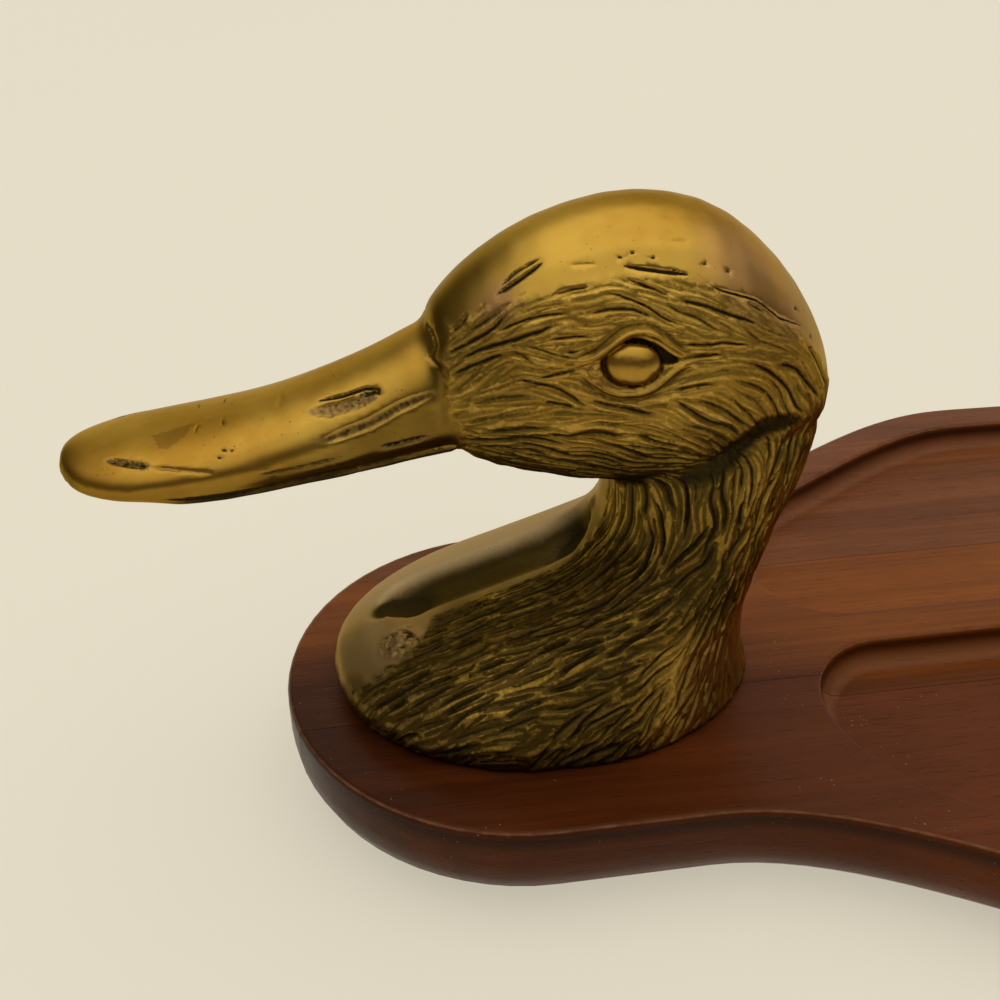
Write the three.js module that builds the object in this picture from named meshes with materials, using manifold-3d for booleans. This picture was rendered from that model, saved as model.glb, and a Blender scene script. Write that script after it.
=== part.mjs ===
// Duck head valet tray: a hollow cast brass duck head screwed down on a dark wooden tray.
// The tray is three staves glued edge to edge, with two shallow wells routed into its body.
// Millimetres, +Z up, bill towards -X. The origin is on the table, under the middle of the whole length.

import * as THREE from "three";
import { LoftGeometry } from "three/addons/geometries/LoftGeometry.js";
import { mergeVertices } from "three/addons/utils/BufferGeometryUtils.js";
import Module from "manifold-3d";

// Tray blank; lengths run from its front end towards the tail.
const trayLength = 260;
const trayThickness = 16;
const noseRoundLength = 38;
const flareStart = 61;
const flareEnd = 147;
const bodyWidth = 152.4;
const tailRoundLength = 110;
const undersideRoundHeight = 10;
const undersideRoundRun = 9;
const topEdgeRadius = 1;

// Staves of the tray and the glue line between them.
const middleStaveWidth = 40;
const middleStaveOffset = 8;
const glueLine = 0.1;

// Wells, one on each side of the straight divider.
const wellDepth = 5;
const wellCoveRadius = 3;
const wellEdgeRadius = 0.8;
const wellRim = 8.5;
const wellCornerLength = 14;
const wellFootGap = 8;
const wellTailMargin = 16;
const dividerWidth = 8.4;

// Felt under the tray.
const feltThickness = 1.2;
const feltInset = 3;

// Head casting: its foot, the wood left round the foot, and its walls.
const footLength = 67;
const footWidth = 55.6;
const frontLedge = 9.2;
const sideLedge = 12;
const chestSwell = 1.2;
const chestSwellHeight = 4.3;
const castingWall = 4;

// Head above the foot: its height, the feather line that the bill grows out of, and the eyes.
const crownHeight = 78;
const featherLine = -17.4;
const featherStep = 1;
const featherSlant = 2.6;
const billLength = 53;
const billWidth = 24;
const mandibleDrop = 1.3;
const mandibleInset = 1.5;
const headWidth = 37;
const eyeBehindFeatherLine = 26.2;
const eyeBelowCrown = 18;
const eyeLength = 8.2;
const eyeOpening = 5.8;
const eyeBulge = 1.9;
const lidThickness = 1.4;

// Fixing screws with their washers, bosses and holes.
const frontScrewPlace = -21;
const rearScrewPlace = 25;
const screwDiameter = 5;
const screwHeadLip = 2.25;
const screwHeadHeight = 3.2;
const screwSlotWidth = 1.2;
const screwSlotDepth = 1.4;
const screwEngagement = 8;
const screwHoleSpare = 1.5;
const screwHoleClearance = 0.6;
const washerLip = 1.25;
const washerThickness = 1;
const counterboreClearance = 1;
const screwHeadRecess = 1.3;
const bossWall = 2.7;

// Sizes that follow from the ones above.
const noseWidth = footWidth + 2 * sideLedge;
const footCentre = frontLedge + footLength / 2;
const trayBottom = feltThickness;
const trayTop = trayBottom + trayThickness;
const counterboreDepth = screwHeadRecess + screwHeadHeight + washerThickness;
const screwHoleDiameter = screwDiameter + screwHoleClearance;
const screwHeadDiameter = screwDiameter + 2 * screwHeadLip;
const washerDiameter = screwHeadDiameter + 2 * washerLip;
const bossDiameter = screwHoleDiameter + 2 * bossWall;
const cutOvershoot = 1;

const wasm = await Module();
wasm.setup();

// Turns a closed three.js geometry into a solid that can be joined and cut.
function toSolid(geometry) {
  const bare = new THREE.BufferGeometry();
  bare.setAttribute("position", geometry.getAttribute("position"));
  bare.setIndex(geometry.getIndex());
  const merged = mergeVertices(bare, 1e-4);
  const vertProperties = new Float32Array(merged.attributes.position.array);
  const triVerts = new Uint32Array(merged.index.array);
  return new wasm.Manifold(new wasm.Mesh({ numProp: 3, vertProperties, triVerts }));
}

// Turns a finished solid into a named mesh with its own material.
function toMesh(name, solid, material) {
  const { vertProperties, triVerts } = solid.getMesh();
  const geometry = new THREE.BufferGeometry();
  geometry.setAttribute("position", new THREE.BufferAttribute(new Float32Array(vertProperties), 3));
  geometry.setIndex(new THREE.BufferAttribute(new Uint32Array(triVerts), 1));
  geometry.computeVertexNormals();
  const mesh = new THREE.Mesh(geometry, new THREE.MeshStandardMaterial(material));
  mesh.name = name;
  return mesh;
}

function loft(sections) {
  return new LoftGeometry(sections, { closed: true, capStart: true, capEnd: true });
}

function uprightCylinder(diameter, bottom, top, x, sides = 24) {
  const geometry = new THREE.CylinderGeometry(diameter / 2, diameter / 2, top - bottom, sides);
  geometry.rotateX(Math.PI / 2);
  geometry.translate(x, 0, (bottom + top) / 2);
  return geometry;
}

// Half of the tray's width at a distance from its front end: a rounded nose, a straight neck,
// a flare into the body, and an elliptical tail.
function trayHalfWidth(x) {
  const flare = THREE.MathUtils.smoothstep(x, flareStart, flareEnd);
  const side = THREE.MathUtils.lerp(noseWidth, bodyWidth, flare) / 2;
  const beforeNose = Math.max(0, 1 - x / noseRoundLength);
  const intoTail = Math.max(0, 1 - (trayLength - x) / tailRoundLength);
  return side * Math.sqrt(Math.max(0, 1 - beforeNose ** 2)) * Math.sqrt(Math.max(0, 1 - intoTail ** 2));
}

// Places along a length, close together at both round ends and even between them.
function roundEndedPlaces(start, end, startRound, endRound, roundSteps, middleSteps) {
  const places = [];
  for (let i = 0; i < roundSteps; i += 1) {
    places.push(start + startRound * (1 - Math.cos((Math.PI / 2) * (i / roundSteps))));
  }
  const middle = end - endRound - start - startRound;
  for (let i = 0; i <= middleSteps; i += 1) {
    places.push(start + startRound + (middle * i) / middleSteps);
  }
  for (let i = roundSteps - 1; i >= 0; i -= 1) {
    places.push(end - endRound * (1 - Math.cos((Math.PI / 2) * (i / roundSteps))));
  }
  return places;
}

// The tray's outline seen from above, moved inwards by an inset, at one height.
function traySection(inset, height) {
  const places = roundEndedPlaces(0, trayLength, noseRoundLength, tailRoundLength, 16, 34);
  const near = places.map((x) => new THREE.Vector2(x, -trayHalfWidth(x)));
  const far = places.slice(1, -1).reverse().map((x) => new THREE.Vector2(x, trayHalfWidth(x)));
  const outline = [...near, ...far];
  return outline.map((point, i) => {
    const before = outline[(i + outline.length - 1) % outline.length];
    const after = outline[(i + 1) % outline.length];
    const run = after.clone().sub(before).normalize();
    return new THREE.Vector3(point.x - run.y * inset, point.y + run.x * inset, height);
  });
}

// Insets and heights down a quarter round, from its foot to its crest.
function quarterRound(steps) {
  return Array.from({ length: steps + 1 }, (_, i) => {
    const angle = (Math.PI / 2) * (i / steps);
    return { run: 1 - Math.sin(angle), rise: 1 - Math.cos(angle) };
  });
}

function makeTrayBlank() {
  const roundHeight = Math.min(undersideRoundHeight, trayThickness - 2 * topEdgeRadius);
  const sections = quarterRound(5).map(({ run, rise }) =>
    traySection(run * undersideRoundRun, trayBottom + rise * roundHeight));
  const topRound = quarterRound(2).reverse().map(({ run, rise }) =>
    traySection(run * topEdgeRadius, trayTop - rise * topEdgeRadius));
  return toSolid(loft([...sections, ...topRound]));
}

// One well's outline on the +Y side. Its outer edge keeps the rim's width from the tray's edge,
// its inner edge runs straight along the divider, and both ends are rounded.
function wellSection(inset, height) {
  const start = footCentre + footLength / 2 + wellFootGap + inset;
  const end = trayLength - wellTailMargin - inset;
  const corner = wellCornerLength - inset;
  const places = roundEndedPlaces(start, end, corner, corner, 8, 22);
  const step = 0.01;
  const edges = places.map((x) => {
    const slope = (trayHalfWidth(x + step) - trayHalfWidth(x - step)) / (2 * step);
    const outer = trayHalfWidth(x) - (wellRim + inset) * Math.hypot(1, slope);
    const inner = dividerWidth / 2 + inset;
    const toEnd = Math.max(0, 1 - Math.min(x - start, end - x) / corner);
    const depth = ((outer - inner) / 2) * Math.sqrt(1 - toEnd ** 2);
    return { x, middle: (outer + inner) / 2, depth };
  });
  const innerEdge = edges.map(({ x, middle, depth }) => new THREE.Vector3(x, middle - depth, height));
  const outerEdge = edges.slice(1, -1).reverse()
    .map(({ x, middle, depth }) => new THREE.Vector3(x, middle + depth, height));
  return [...innerEdge, ...outerEdge];
}

function makeWellCutters() {
  const floor = trayTop - wellDepth;
  const cove = quarterRound(3).map(({ run, rise }) =>
    wellSection(run * wellCoveRadius, floor + rise * wellCoveRadius));
  const edge = quarterRound(2).map(({ run, rise }) =>
    wellSection(-rise * wellEdgeRadius, trayTop - run * wellEdgeRadius));
  const above = wellSection(-wellEdgeRadius, trayTop + cutOvershoot);
  const far = [...cove, ...edge, above];
  const near = far.map((section) =>
    section.map((point) => new THREE.Vector3(point.x, -point.y, point.z)).reverse());
  return [toSolid(loft(far)), toSolid(loft(near))];
}

const screwPlaces = [footCentre + frontScrewPlace, footCentre + rearScrewPlace];

function makeScrewCutters() {
  return screwPlaces.flatMap((x) => {
    const hole = uprightCylinder(screwHoleDiameter, trayBottom - cutOvershoot, trayTop + cutOvershoot, x);
    const shoulder = trayBottom + counterboreDepth;
    const bore = uprightCylinder(washerDiameter + counterboreClearance, trayBottom - cutOvershoot, shoulder, x);
    return [toSolid(hole), toSolid(bore)];
  });
}

// The staves: the shaped blank sawn at the two glue lines.
function makeStaves() {
  let tray = makeTrayBlank();
  for (const cutter of [...makeWellCutters(), ...makeScrewCutters()]) {
    tray = tray.subtract(cutter);
  }
  const outside = bodyWidth / 2 + cutOvershoot;
  const nearGlue = middleStaveOffset - middleStaveWidth / 2;
  const farGlue = middleStaveOffset + middleStaveWidth / 2;
  const sawn = (from, to) => {
    const slab = new THREE.BoxGeometry(trayLength + 2 * cutOvershoot, to - from, trayTop + 2 * cutOvershoot);
    slab.translate(trayLength / 2, (from + to) / 2, trayTop / 2);
    return tray.intersect(toSolid(slab));
  };
  const wood = { roughness: 0.3, metalness: 0 };
  return [
    toMesh("near_stave", sawn(-outside, nearGlue - glueLine / 2), { ...wood, color: 0x4a1f12 }),
    toMesh("middle_stave", sawn(nearGlue + glueLine / 2, farGlue - glueLine / 2), { ...wood, color: 0x6d3214 }),
    toMesh("far_stave", sawn(farGlue + glueLine / 2, outside), { ...wood, color: 0x4c2012 }),
  ];
}

function makeFelt() {
  const inset = undersideRoundRun + feltInset;
  const pad = loft([traySection(inset, 0), traySection(inset, feltThickness)]);
  return toMesh("felt_pad", toSolid(pad), { color: 0x2b2a26, roughness: 0.95, metalness: 0 });
}

// A place on the head's middle plane, as shares of the crown's height along X and up.
// The casting's own frame has its origin under the middle of the foot, on the tray.
function profilePoint(along, up) {
  return [along * crownHeight, up * crownHeight];
}

// Stations of the neck and the skull. Each one gives a point on the upper or front profile,
// a point on the lower or back profile, and the breadth there as a share of the widest place.
const neckStations = [
  { upper: [-footLength / 2, 0], lower: [footLength / 2, 0], breadth: 1 },
  {
    upper: [-footLength / 2 - chestSwell, chestSwellHeight],
    lower: [footLength / 2 - chestSwell, chestSwellHeight],
    breadth: 1.01,
  },
  { upper: profilePoint(-0.392, 0.103), lower: profilePoint(0.408, 0.115), breadth: 0.95 },
  { upper: profilePoint(-0.264, 0.151), lower: profilePoint(0.41, 0.179), breadth: 0.86 },
  { upper: profilePoint(-0.103, 0.205), lower: profilePoint(0.426, 0.251), breadth: 0.76 },
  { upper: profilePoint(0.031, 0.26), lower: profilePoint(0.451, 0.328), breadth: 0.66 },
  { upper: profilePoint(0.11, 0.359), lower: profilePoint(0.485, 0.41), breadth: 0.6 },
  { upper: profilePoint(0.123, 0.487), lower: profilePoint(0.515, 0.494), breadth: 0.61 },
  { upper: profilePoint(0.141, 0.577), lower: profilePoint(0.528, 0.583), breadth: 0.6 },
  { upper: profilePoint(0.192, 0.692), lower: profilePoint(0.479, 0.705), breadth: 0.46 },
];
const featherTop = 0.787 * crownHeight;
const featherBottom = 0.582 * crownHeight;
const skullStations = [
  { upper: [featherLine, featherTop], lower: [featherLine + featherSlant, featherBottom], breadth: 0.52 },
  {
    upper: [featherLine + featherStep, featherTop + 2.4 * featherStep],
    lower: [featherLine + featherSlant + featherStep, featherBottom - 2.2 * featherStep],
    breadth: 0.61,
  },
  { upper: profilePoint(-0.144, 0.888), lower: profilePoint(-0.124, 0.523), breadth: 0.76 },
  { upper: profilePoint(-0.015, 0.964), lower: profilePoint(-0.028, 0.492), breadth: 0.91 },
  { upper: profilePoint(0.151, 1), lower: profilePoint(0.113, 0.464), breadth: 0.99 },
  { upper: profilePoint(0.305, 0.969), lower: profilePoint(0.254, 0.462), breadth: 1 },
  { upper: profilePoint(0.428, 0.869), lower: profilePoint(0.382, 0.49), breadth: 0.91 },
  { upper: profilePoint(0.503, 0.754), lower: profilePoint(0.472, 0.538), breadth: 0.68 },
  { upper: profilePoint(0.528, 0.667), lower: profilePoint(0.515, 0.577), breadth: 0.38 },
  { upper: profilePoint(0.536, 0.623), lower: profilePoint(0.535, 0.608), breadth: 0.04 },
];

// Stations of the bill: how far ahead of the feather line, as a share of the bill's length,
// then the heights of its ridge and its underside as shares of the crown's height.
const billStations = [
  [1, 0.574, 0.565, 0.05],
  [0.987, 0.591, 0.553, 0.35],
  [0.94, 0.603, 0.541, 0.66],
  [0.836, 0.615, 0.535, 0.92],
  [0.638, 0.632, 0.537, 1],
  [0.411, 0.665, 0.546, 0.93],
  [0.166, 0.726, 0.563, 0.87],
  [0, 0.782, 0.579, 0.85],
  [-0.2, 0.846, 0.59, 0.85],
].map(([ahead, ridge, underside, breadth]) => {
  const x = featherLine - ahead * billLength;
  return { upper: [x, ridge * crownHeight], lower: [x, underside * crownHeight], breadth };
});

// One closed section across the head: an oval standing on the line from the lower to the upper point.
// The belly is where along that line it is widest; the fullness above and below it squares the oval.
function headSection(upper, lower, halfWidth, { belly, upperFullness, lowerFullness }, sides) {
  const axis = upper.clone().sub(lower);
  return Array.from({ length: sides }, (_, i) => {
    const angle = (2 * Math.PI * i) / sides;
    const across = Math.cos(angle);
    const along = Math.sin(angle);
    const fullness = along >= 0 ? upperFullness : lowerFullness;
    const reach = along >= 0 ? 1 - belly : belly;
    const y = halfWidth * Math.sign(across) * Math.abs(across) ** (2 / fullness);
    const share = belly + reach * Math.sign(along) * Math.abs(along) ** (2 / fullness);
    return new THREE.Vector3(lower.x + axis.x * share, y, lower.z + axis.z * share);
  });
}

// Smooth sections through a run of stations; the inset draws every section in for a hollow core.
function headSections(stations, width, shape, steps, sides, inset = 0) {
  const curveOf = (pick) => new THREE.CatmullRomCurve3(stations.map(pick), false, "centripetal");
  const upperCurve = curveOf(({ upper }) => new THREE.Vector3(upper[0], 0, upper[1]));
  const lowerCurve = curveOf(({ lower }) => new THREE.Vector3(lower[0], 0, lower[1]));
  const breadthCurve = curveOf(({ breadth }, i) => new THREE.Vector3(i, breadth, 0));
  return Array.from({ length: steps + 1 }, (_, i) => {
    const upper = upperCurve.getPoint(i / steps);
    const lower = lowerCurve.getPoint(i / steps);
    const halfWidth = (width / 2) * breadthCurve.getPoint(i / steps).y;
    const pull = upper.clone().sub(lower).setLength(inset);
    return headSection(upper.sub(pull), lower.add(pull), halfWidth - inset, shape, sides);
  });
}

const neckShape = { belly: 0.5, upperFullness: 2.1, lowerFullness: 2 };
const skullShape = { belly: 0.42, upperFullness: 2, lowerFullness: 2.1 };
const billShape = { belly: 0.28, upperFullness: 2.2, lowerFullness: 3 };

// The lower mandible shows as a narrow band under the upper bill.
function makeMandible() {
  const bony = billStations.slice(2);
  const stations = bony.map(({ upper, lower, breadth }, i) => ({
    upper: [upper[0], (upper[1] + lower[1]) / 2],
    lower: [lower[0], lower[1] - mandibleDrop * Math.min(1, i / 2)],
    breadth: breadth - (2 * mandibleInset) / billWidth,
  }));
  return toSolid(loft(headSections(stations, billWidth, billShape, 10, 20)));
}

// Both eyes: a bulging eyeball inside a raised lid, seated where the side of the skull is.
function makeEyes(skullGeometry) {
  const skull = new THREE.Mesh(skullGeometry, new THREE.MeshBasicMaterial({ side: THREE.DoubleSide }));
  const fromSide = new THREE.Raycaster(
    new THREE.Vector3(featherLine + eyeBehindFeatherLine, headWidth, crownHeight - eyeBelowCrown),
    new THREE.Vector3(0, -1, 0));
  const seat = fromSide.intersectObject(skull)[0];
  const eyeball = new THREE.SphereGeometry(1, 14, 8);
  eyeball.scale(eyeLength / 2, eyeOpening / 2, eyeBulge);
  const lid = new THREE.TorusGeometry((eyeLength + lidThickness) / 2, lidThickness / 2, 6, 20);
  lid.scale(1, (eyeOpening + lidThickness) / (eyeLength + lidThickness), 1);
  const mirrored = new THREE.Vector3(1, -1, 1);
  return [seat.face.normal, seat.face.normal.clone().multiply(mirrored)].flatMap((normal) => {
    const outwards = new THREE.Quaternion().setFromUnitVectors(new THREE.Vector3(0, 0, 1), normal);
    return [eyeball, lid].map((piece) => {
      const placed = piece.clone().applyQuaternion(outwards);
      placed.translate(seat.point.x, Math.sign(normal.y) * seat.point.y, seat.point.z);
      return toSolid(placed);
    });
  });
}

// The casting: one hollow brass body, open under the foot, with a screw boss at front and back.
function makeCasting() {
  const skullGeometry = loft(headSections(skullStations, headWidth, skullShape, 24, 32));
  let outer = toSolid(loft(headSections(neckStations, footWidth, neckShape, 21, 40)));
  outer = outer.add(toSolid(skullGeometry));
  outer = outer.add(toSolid(loft(headSections(billStations, billWidth, billShape, 24, 24))));
  outer = outer.add(makeMandible());
  for (const eyePiece of makeEyes(skullGeometry)) {
    outer = outer.add(eyePiece);
  }
  const neckCore = headSections(neckStations, footWidth, neckShape, 8, 20, castingWall);
  const belowFoot = neckCore[0].map((point) => new THREE.Vector3(point.x, point.y, -cutOvershoot));
  const skullCore = headSections(skullStations.slice(2, -2), headWidth, skullShape, 6, 16, castingWall);
  let casting = outer.subtract(toSolid(loft([belowFoot, ...neckCore]))).subtract(toSolid(loft(skullCore)));
  for (const place of [frontScrewPlace, rearScrewPlace]) {
    const bossTop = screwEngagement + screwHoleSpare + castingWall;
    const boss = toSolid(uprightCylinder(bossDiameter, 0, bossTop, place)).intersect(outer);
    const hole = uprightCylinder(screwHoleDiameter, -cutOvershoot, screwEngagement + screwHoleSpare, place);
    casting = casting.add(boss).subtract(toSolid(hole));
  }
  return toMesh("duck_head_casting", casting, { color: 0x7d5f1c, roughness: 0.38, metalness: 1 });
}

// A slotted machine screw, driven up through the tray into the casting's boss.
function makeScrew(name, place) {
  const headTop = trayBottom + screwHeadRecess + screwHeadHeight;
  const headBottom = headTop - screwHeadHeight;
  const tip = trayTop + screwEngagement;
  const edge = Math.min(screwHeadHeight, screwHeadDiameter) / 4;
  const profile = [
    new THREE.Vector2(0, headBottom),
    new THREE.Vector2(screwHeadDiameter / 2 - edge, headBottom),
    new THREE.Vector2(screwHeadDiameter / 2, headBottom + edge),
    new THREE.Vector2(screwHeadDiameter / 2, headTop),
    new THREE.Vector2(screwDiameter / 2, headTop),
    new THREE.Vector2(screwDiameter / 2, tip - edge),
    new THREE.Vector2(screwDiameter / 2 - edge, tip),
    new THREE.Vector2(0, tip),
  ];
  const body = new THREE.LatheGeometry(profile, 24);
  body.rotateX(Math.PI / 2);
  const slot = new THREE.BoxGeometry(screwHeadDiameter + 1, screwSlotWidth, 2 * screwSlotDepth);
  slot.translate(0, 0, headBottom);
  const screw = toMesh(name, toSolid(body).subtract(toSolid(slot)), {
    color: 0x8d8f92, roughness: 0.4, metalness: 1,
  });
  screw.position.x = place;
  return screw;
}

function makeWasher(name, place) {
  const bottom = trayBottom + screwHeadRecess + screwHeadHeight;
  const disc = toSolid(uprightCylinder(washerDiameter, bottom, bottom + washerThickness, 0));
  const hole = toSolid(uprightCylinder(
    screwHoleDiameter, bottom - cutOvershoot, bottom + washerThickness + cutOvershoot, 0));
  const washer = toMesh(name, disc.subtract(hole), { color: 0x9a9c9e, roughness: 0.45, metalness: 1 });
  washer.position.x = place;
  return washer;
}

const casting = makeCasting();
casting.position.set(footCentre, 0, trayTop);

const valetTray = new THREE.Group();
valetTray.add(...makeStaves(), makeFelt(), casting);
["front", "rear"].forEach((end, i) => {
  valetTray.add(makeScrew(`${end}_fixing_screw`, screwPlaces[i]));
  valetTray.add(makeWasher(`${end}_washer`, screwPlaces[i]));
});

// The origin is midway between the bill's tip and the tail.
const billTip = footCentre + billStations[0].upper[0];
valetTray.position.x = -(billTip + trayLength) / 2;

export default valetTray;
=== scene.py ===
"""Looks of the duck head valet tray: a chased brass head on a lacquered wooden tray.

Lengths are metres in the part's own frame: +Z up, the bill towards -X and the table at Z = 0.
Only the head's section counts in millimetres.
"""

import math
import random

import bmesh
import bpy
import numpy as np
from mathutils import Euler, Matrix, Vector, noise
from mathutils.bvhtree import BVHTree
from mathutils.kdtree import KDTree


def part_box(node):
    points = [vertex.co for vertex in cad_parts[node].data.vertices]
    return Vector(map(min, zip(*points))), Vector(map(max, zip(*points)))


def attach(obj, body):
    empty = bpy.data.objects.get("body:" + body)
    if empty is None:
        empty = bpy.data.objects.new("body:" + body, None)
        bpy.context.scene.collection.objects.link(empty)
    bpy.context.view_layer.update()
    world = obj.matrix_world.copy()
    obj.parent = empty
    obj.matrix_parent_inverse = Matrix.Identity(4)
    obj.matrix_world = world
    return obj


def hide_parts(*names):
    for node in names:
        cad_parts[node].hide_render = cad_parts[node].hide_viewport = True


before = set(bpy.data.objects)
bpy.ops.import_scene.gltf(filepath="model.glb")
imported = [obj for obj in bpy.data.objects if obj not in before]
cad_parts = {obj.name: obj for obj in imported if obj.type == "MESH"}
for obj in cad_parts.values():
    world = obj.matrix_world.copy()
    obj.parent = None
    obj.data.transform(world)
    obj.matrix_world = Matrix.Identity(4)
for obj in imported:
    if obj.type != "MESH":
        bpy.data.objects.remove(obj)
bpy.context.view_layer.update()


# Felt pad: dark pressed wool felt, cut a little smaller than the tray's underside.
# It is glued on, keeps the tray from scratching a table and covers the screw heads.
FELT_EDGE_ROUND = 0.0004
FELT_RIM_ANGLE = math.radians(60)
FELT_DARK = (0.016, 0.015, 0.013, 1)
FELT_LIGHT = (0.085, 0.078, 0.066, 1)
FIBRE_SCALE = 1400
LUMP_SCALE = 90
NAP_HEIGHT = 0.0003
MERGE_DISTANCE = 1e-6
FLAT_ANGLE = math.radians(0.5)


def merged_copy(node):
    """A bmesh of a CAD node with its loose triangles joined."""
    bm = bmesh.new()
    bm.from_mesh(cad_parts[node].data)
    bmesh.ops.remove_doubles(bm, verts=bm.verts, dist=MERGE_DISTANCE)
    return bm


def whole_faced_copy(node):
    """A merged copy of a CAD node with its flat faces made whole."""
    bm = merged_copy(node)
    bmesh.ops.dissolve_limit(bm, angle_limit=FLAT_ANGLE, verts=bm.verts, edges=bm.edges)
    return bm


def finished_piece(bm, name, material):
    """Turns a bmesh into a smooth shaded object at the origin, with one material."""
    mesh = bpy.data.meshes.new(name)
    bm.to_mesh(mesh)
    bm.free()
    mesh.shade_smooth()
    mesh.materials.append(material)
    piece = bpy.data.objects.new(name, mesh)
    bpy.context.scene.collection.objects.link(piece)
    return piece


class ShaderNodes:
    """Short ways to add nodes to a shader's tree and to join them."""

    def __init__(self, tree, coordinates):
        self.nodes = tree.nodes
        self.links = tree.links
        self.place = self.new("TexCoord").outputs[coordinates]

    def new(self, kind, **inputs):
        """Adds a node, with its inputs set or linked."""
        node = self.nodes.new("ShaderNode" + kind)
        for name, value in inputs.items():
            self.feed(node.inputs[name.replace("_", " ")], value)
        return node

    def feed(self, socket, value):
        """Sets a socket to a constant, or links it to another node's output."""
        if isinstance(value, bpy.types.NodeSocket):
            self.links.new(value, socket)
        else:
            socket.default_value = value

    def stretched(self, scale, shift):
        return self.new("Mapping", Vector=self.place, Location=shift, Scale=scale).outputs["Vector"]

    def noise(self, scale, detail=3, roughness=0.55, distortion=0, at=None):
        vector = self.place if at is None else at
        node = self.new("TexNoise", Vector=vector, Scale=scale, Detail=detail, Roughness=roughness,
                        Distortion=distortion)
        return node.outputs["Fac"]

    def specks(self, scale, radius):
        """Small round dots, 1 inside and 0 outside; the radius is a share of a cell."""
        away = self.new("TexVoronoi", Vector=self.place, Scale=scale).outputs["Distance"]
        return self.ramp(away, (radius * 0.6, 1), (radius, 0))

    def ramp(self, value, *stops):
        """Maps a value through (position, level) stops, straight between them."""
        node = self.new("ValToRGB", Fac=value)
        elements = node.color_ramp.elements
        while len(elements) < len(stops):
            elements.new(1)
        for element, (position, level) in zip(elements, stops):
            element.position = position
            element.color = (level, level, level, 1)
        return node.outputs["Color"]

    def mix(self, share, first, second, blend="MIX"):
        node = self.new("Mix")
        node.data_type = "RGBA"
        node.blend_type = blend
        for socket, value in zip(("Factor", "A", "B"), (share, first, second)):
            self.feed(node.inputs[socket], value)
        return next(out for out in node.outputs if out.type == "RGBA")

    def math(self, operation, first, second):
        node = self.new("Math")
        node.operation = operation
        self.feed(node.inputs[0], first)
        self.feed(node.inputs[1], second)
        return node.outputs["Value"]

    def times(self, first, second):
        return self.math("MULTIPLY", first, second)

    def part_of(self, axis):
        """One axis of the coordinates, in metres on a piece."""
        return self.new("SeparateXYZ", Vector=self.place).outputs[axis]

    def share_of(self, value, start, end, smooth=False):
        """How far a value has come from the start to the end, 0 to 1."""
        node = self.new("MapRange", Value=value, From_Min=start, From_Max=end)
        node.interpolation_type = "SMOOTHSTEP" if smooth else "LINEAR"
        return node.outputs["Result"]

    def attribute(self, name):
        node = self.new("Attribute")
        node.attribute_name = name
        return node.outputs["Fac"]


class Finish(ShaderNodes):
    """A piece's material under construction: one Principled shader, which the nodes feed."""

    def __init__(self, name, **sockets):
        self.material = bpy.data.materials.new(name)
        self.material.use_nodes = True
        super().__init__(self.material.node_tree, "Object")
        self.shader = self.nodes["Principled BSDF"]
        for socket, value in sockets.items():
            self.set(socket.replace("_", " "), value)

    def set(self, socket, value):
        self.feed(self.shader.inputs[socket], value)

    def bump(self, height, distance, strength):
        node = self.new("Bump", Height=height, Distance=distance, Strength=strength)
        self.set("Normal", node.outputs["Normal"])


def felt_finish():
    felt = Finish("pressed_felt", Roughness=1.0, Sheen_Weight=0.25, Sheen_Roughness=0.6)
    fibres = felt.noise(FIBRE_SCALE, detail=6, roughness=0.7, distortion=1.5)
    lumps = felt.noise(LUMP_SCALE, detail=2)
    shade = felt.times(fibres, felt.math("ADD", lumps, 0.5))
    felt.set("Base Color", felt.mix(felt.ramp(shade, (0.3, 0), (0.75, 1)), FELT_DARK, FELT_LIGHT))
    felt.bump(fibres, NAP_HEIGHT, 0.8)
    return felt.material


felt_bm = whole_faced_copy("felt_pad")
rim = [e for e in felt_bm.edges if e.calc_face_angle(0) > FELT_RIM_ANGLE]
bmesh.ops.bevel(felt_bm, geom=rim, offset=FELT_EDGE_ROUND, affect="EDGES", segments=3, profile=0.5,
                material=-1)
felt_pad = finished_piece(felt_bm, "felt_underside", felt_finish())
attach(felt_pad, "root")
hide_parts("felt_pad")


# Tray: three staves of a close grained hardwood, glued edge to edge and shaped as one board.
# The two wells are routed in, the edges eased, and the whole stained and lacquered to a gloss.
TRAY_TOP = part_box("middle_stave")[1].z
EDGE_DEPTH = 0.0010
# The rounded top edges are lighter: partly real wear, partly a painted highlight.
WORN_EDGE_HIGHLIGHT = (0.30, 0.145, 0.080, 1)
WEAR_SCALE = 420
DUST = (0.50, 0.40, 0.31, 1)
DUST_SCALE = 900
DUST_RADIUS = 0.12
DUST_PATCH_SCALE = 120
STAVES = {
    "near_stave": {
        "dark": (0.054, 0.0115, 0.0026),
        "light": (0.135, 0.0320, 0.0070),
        "shift": (0.31, 0.02, 0.0),
    },
    "middle_stave": {
        "dark": (0.140, 0.0360, 0.0050),
        "light": (0.325, 0.0930, 0.0130),
        "shift": (0.07, 0.55, 0.1),
    },
    "far_stave": {
        "dark": (0.115, 0.0325, 0.0095),
        "light": (0.270, 0.0900, 0.0290),
        "shift": (0.83, 0.21, 0.3),
    },
}
# The broad figure, the growth lines and the pores, drawn out along the grain.
FIGURE_STRETCH = (9, 130, 130)
FIGURE_SHARE = 0.66
LINE_STRETCH = (26, 900, 900)
LINE_SHARE = 0.34
PORE_STRETCH = (170, 2600, 2600)
PORE_SHARE = 0.5
GRAIN_HEIGHT = 0.00012
BLOTCH_SCALE = 34
BLOTCH_TINT = (0.6, 0.55, 0.6)
SMEAR_SCALE = 55
# How far the edges between tones waver with the figure.
WAVER = 0.012
# The middle stave darkens to the near stave's tone where the heartwood begins: along a slant that
# runs from the front end of the tray to the rib between the wells.
HEARTWOOD_EDGE = (-0.003, 0.009)
HEARTWOOD_SLANT = 0.124
HEARTWOOD_FROM = -0.109
HEARTWOOD_TO = -0.020
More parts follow.
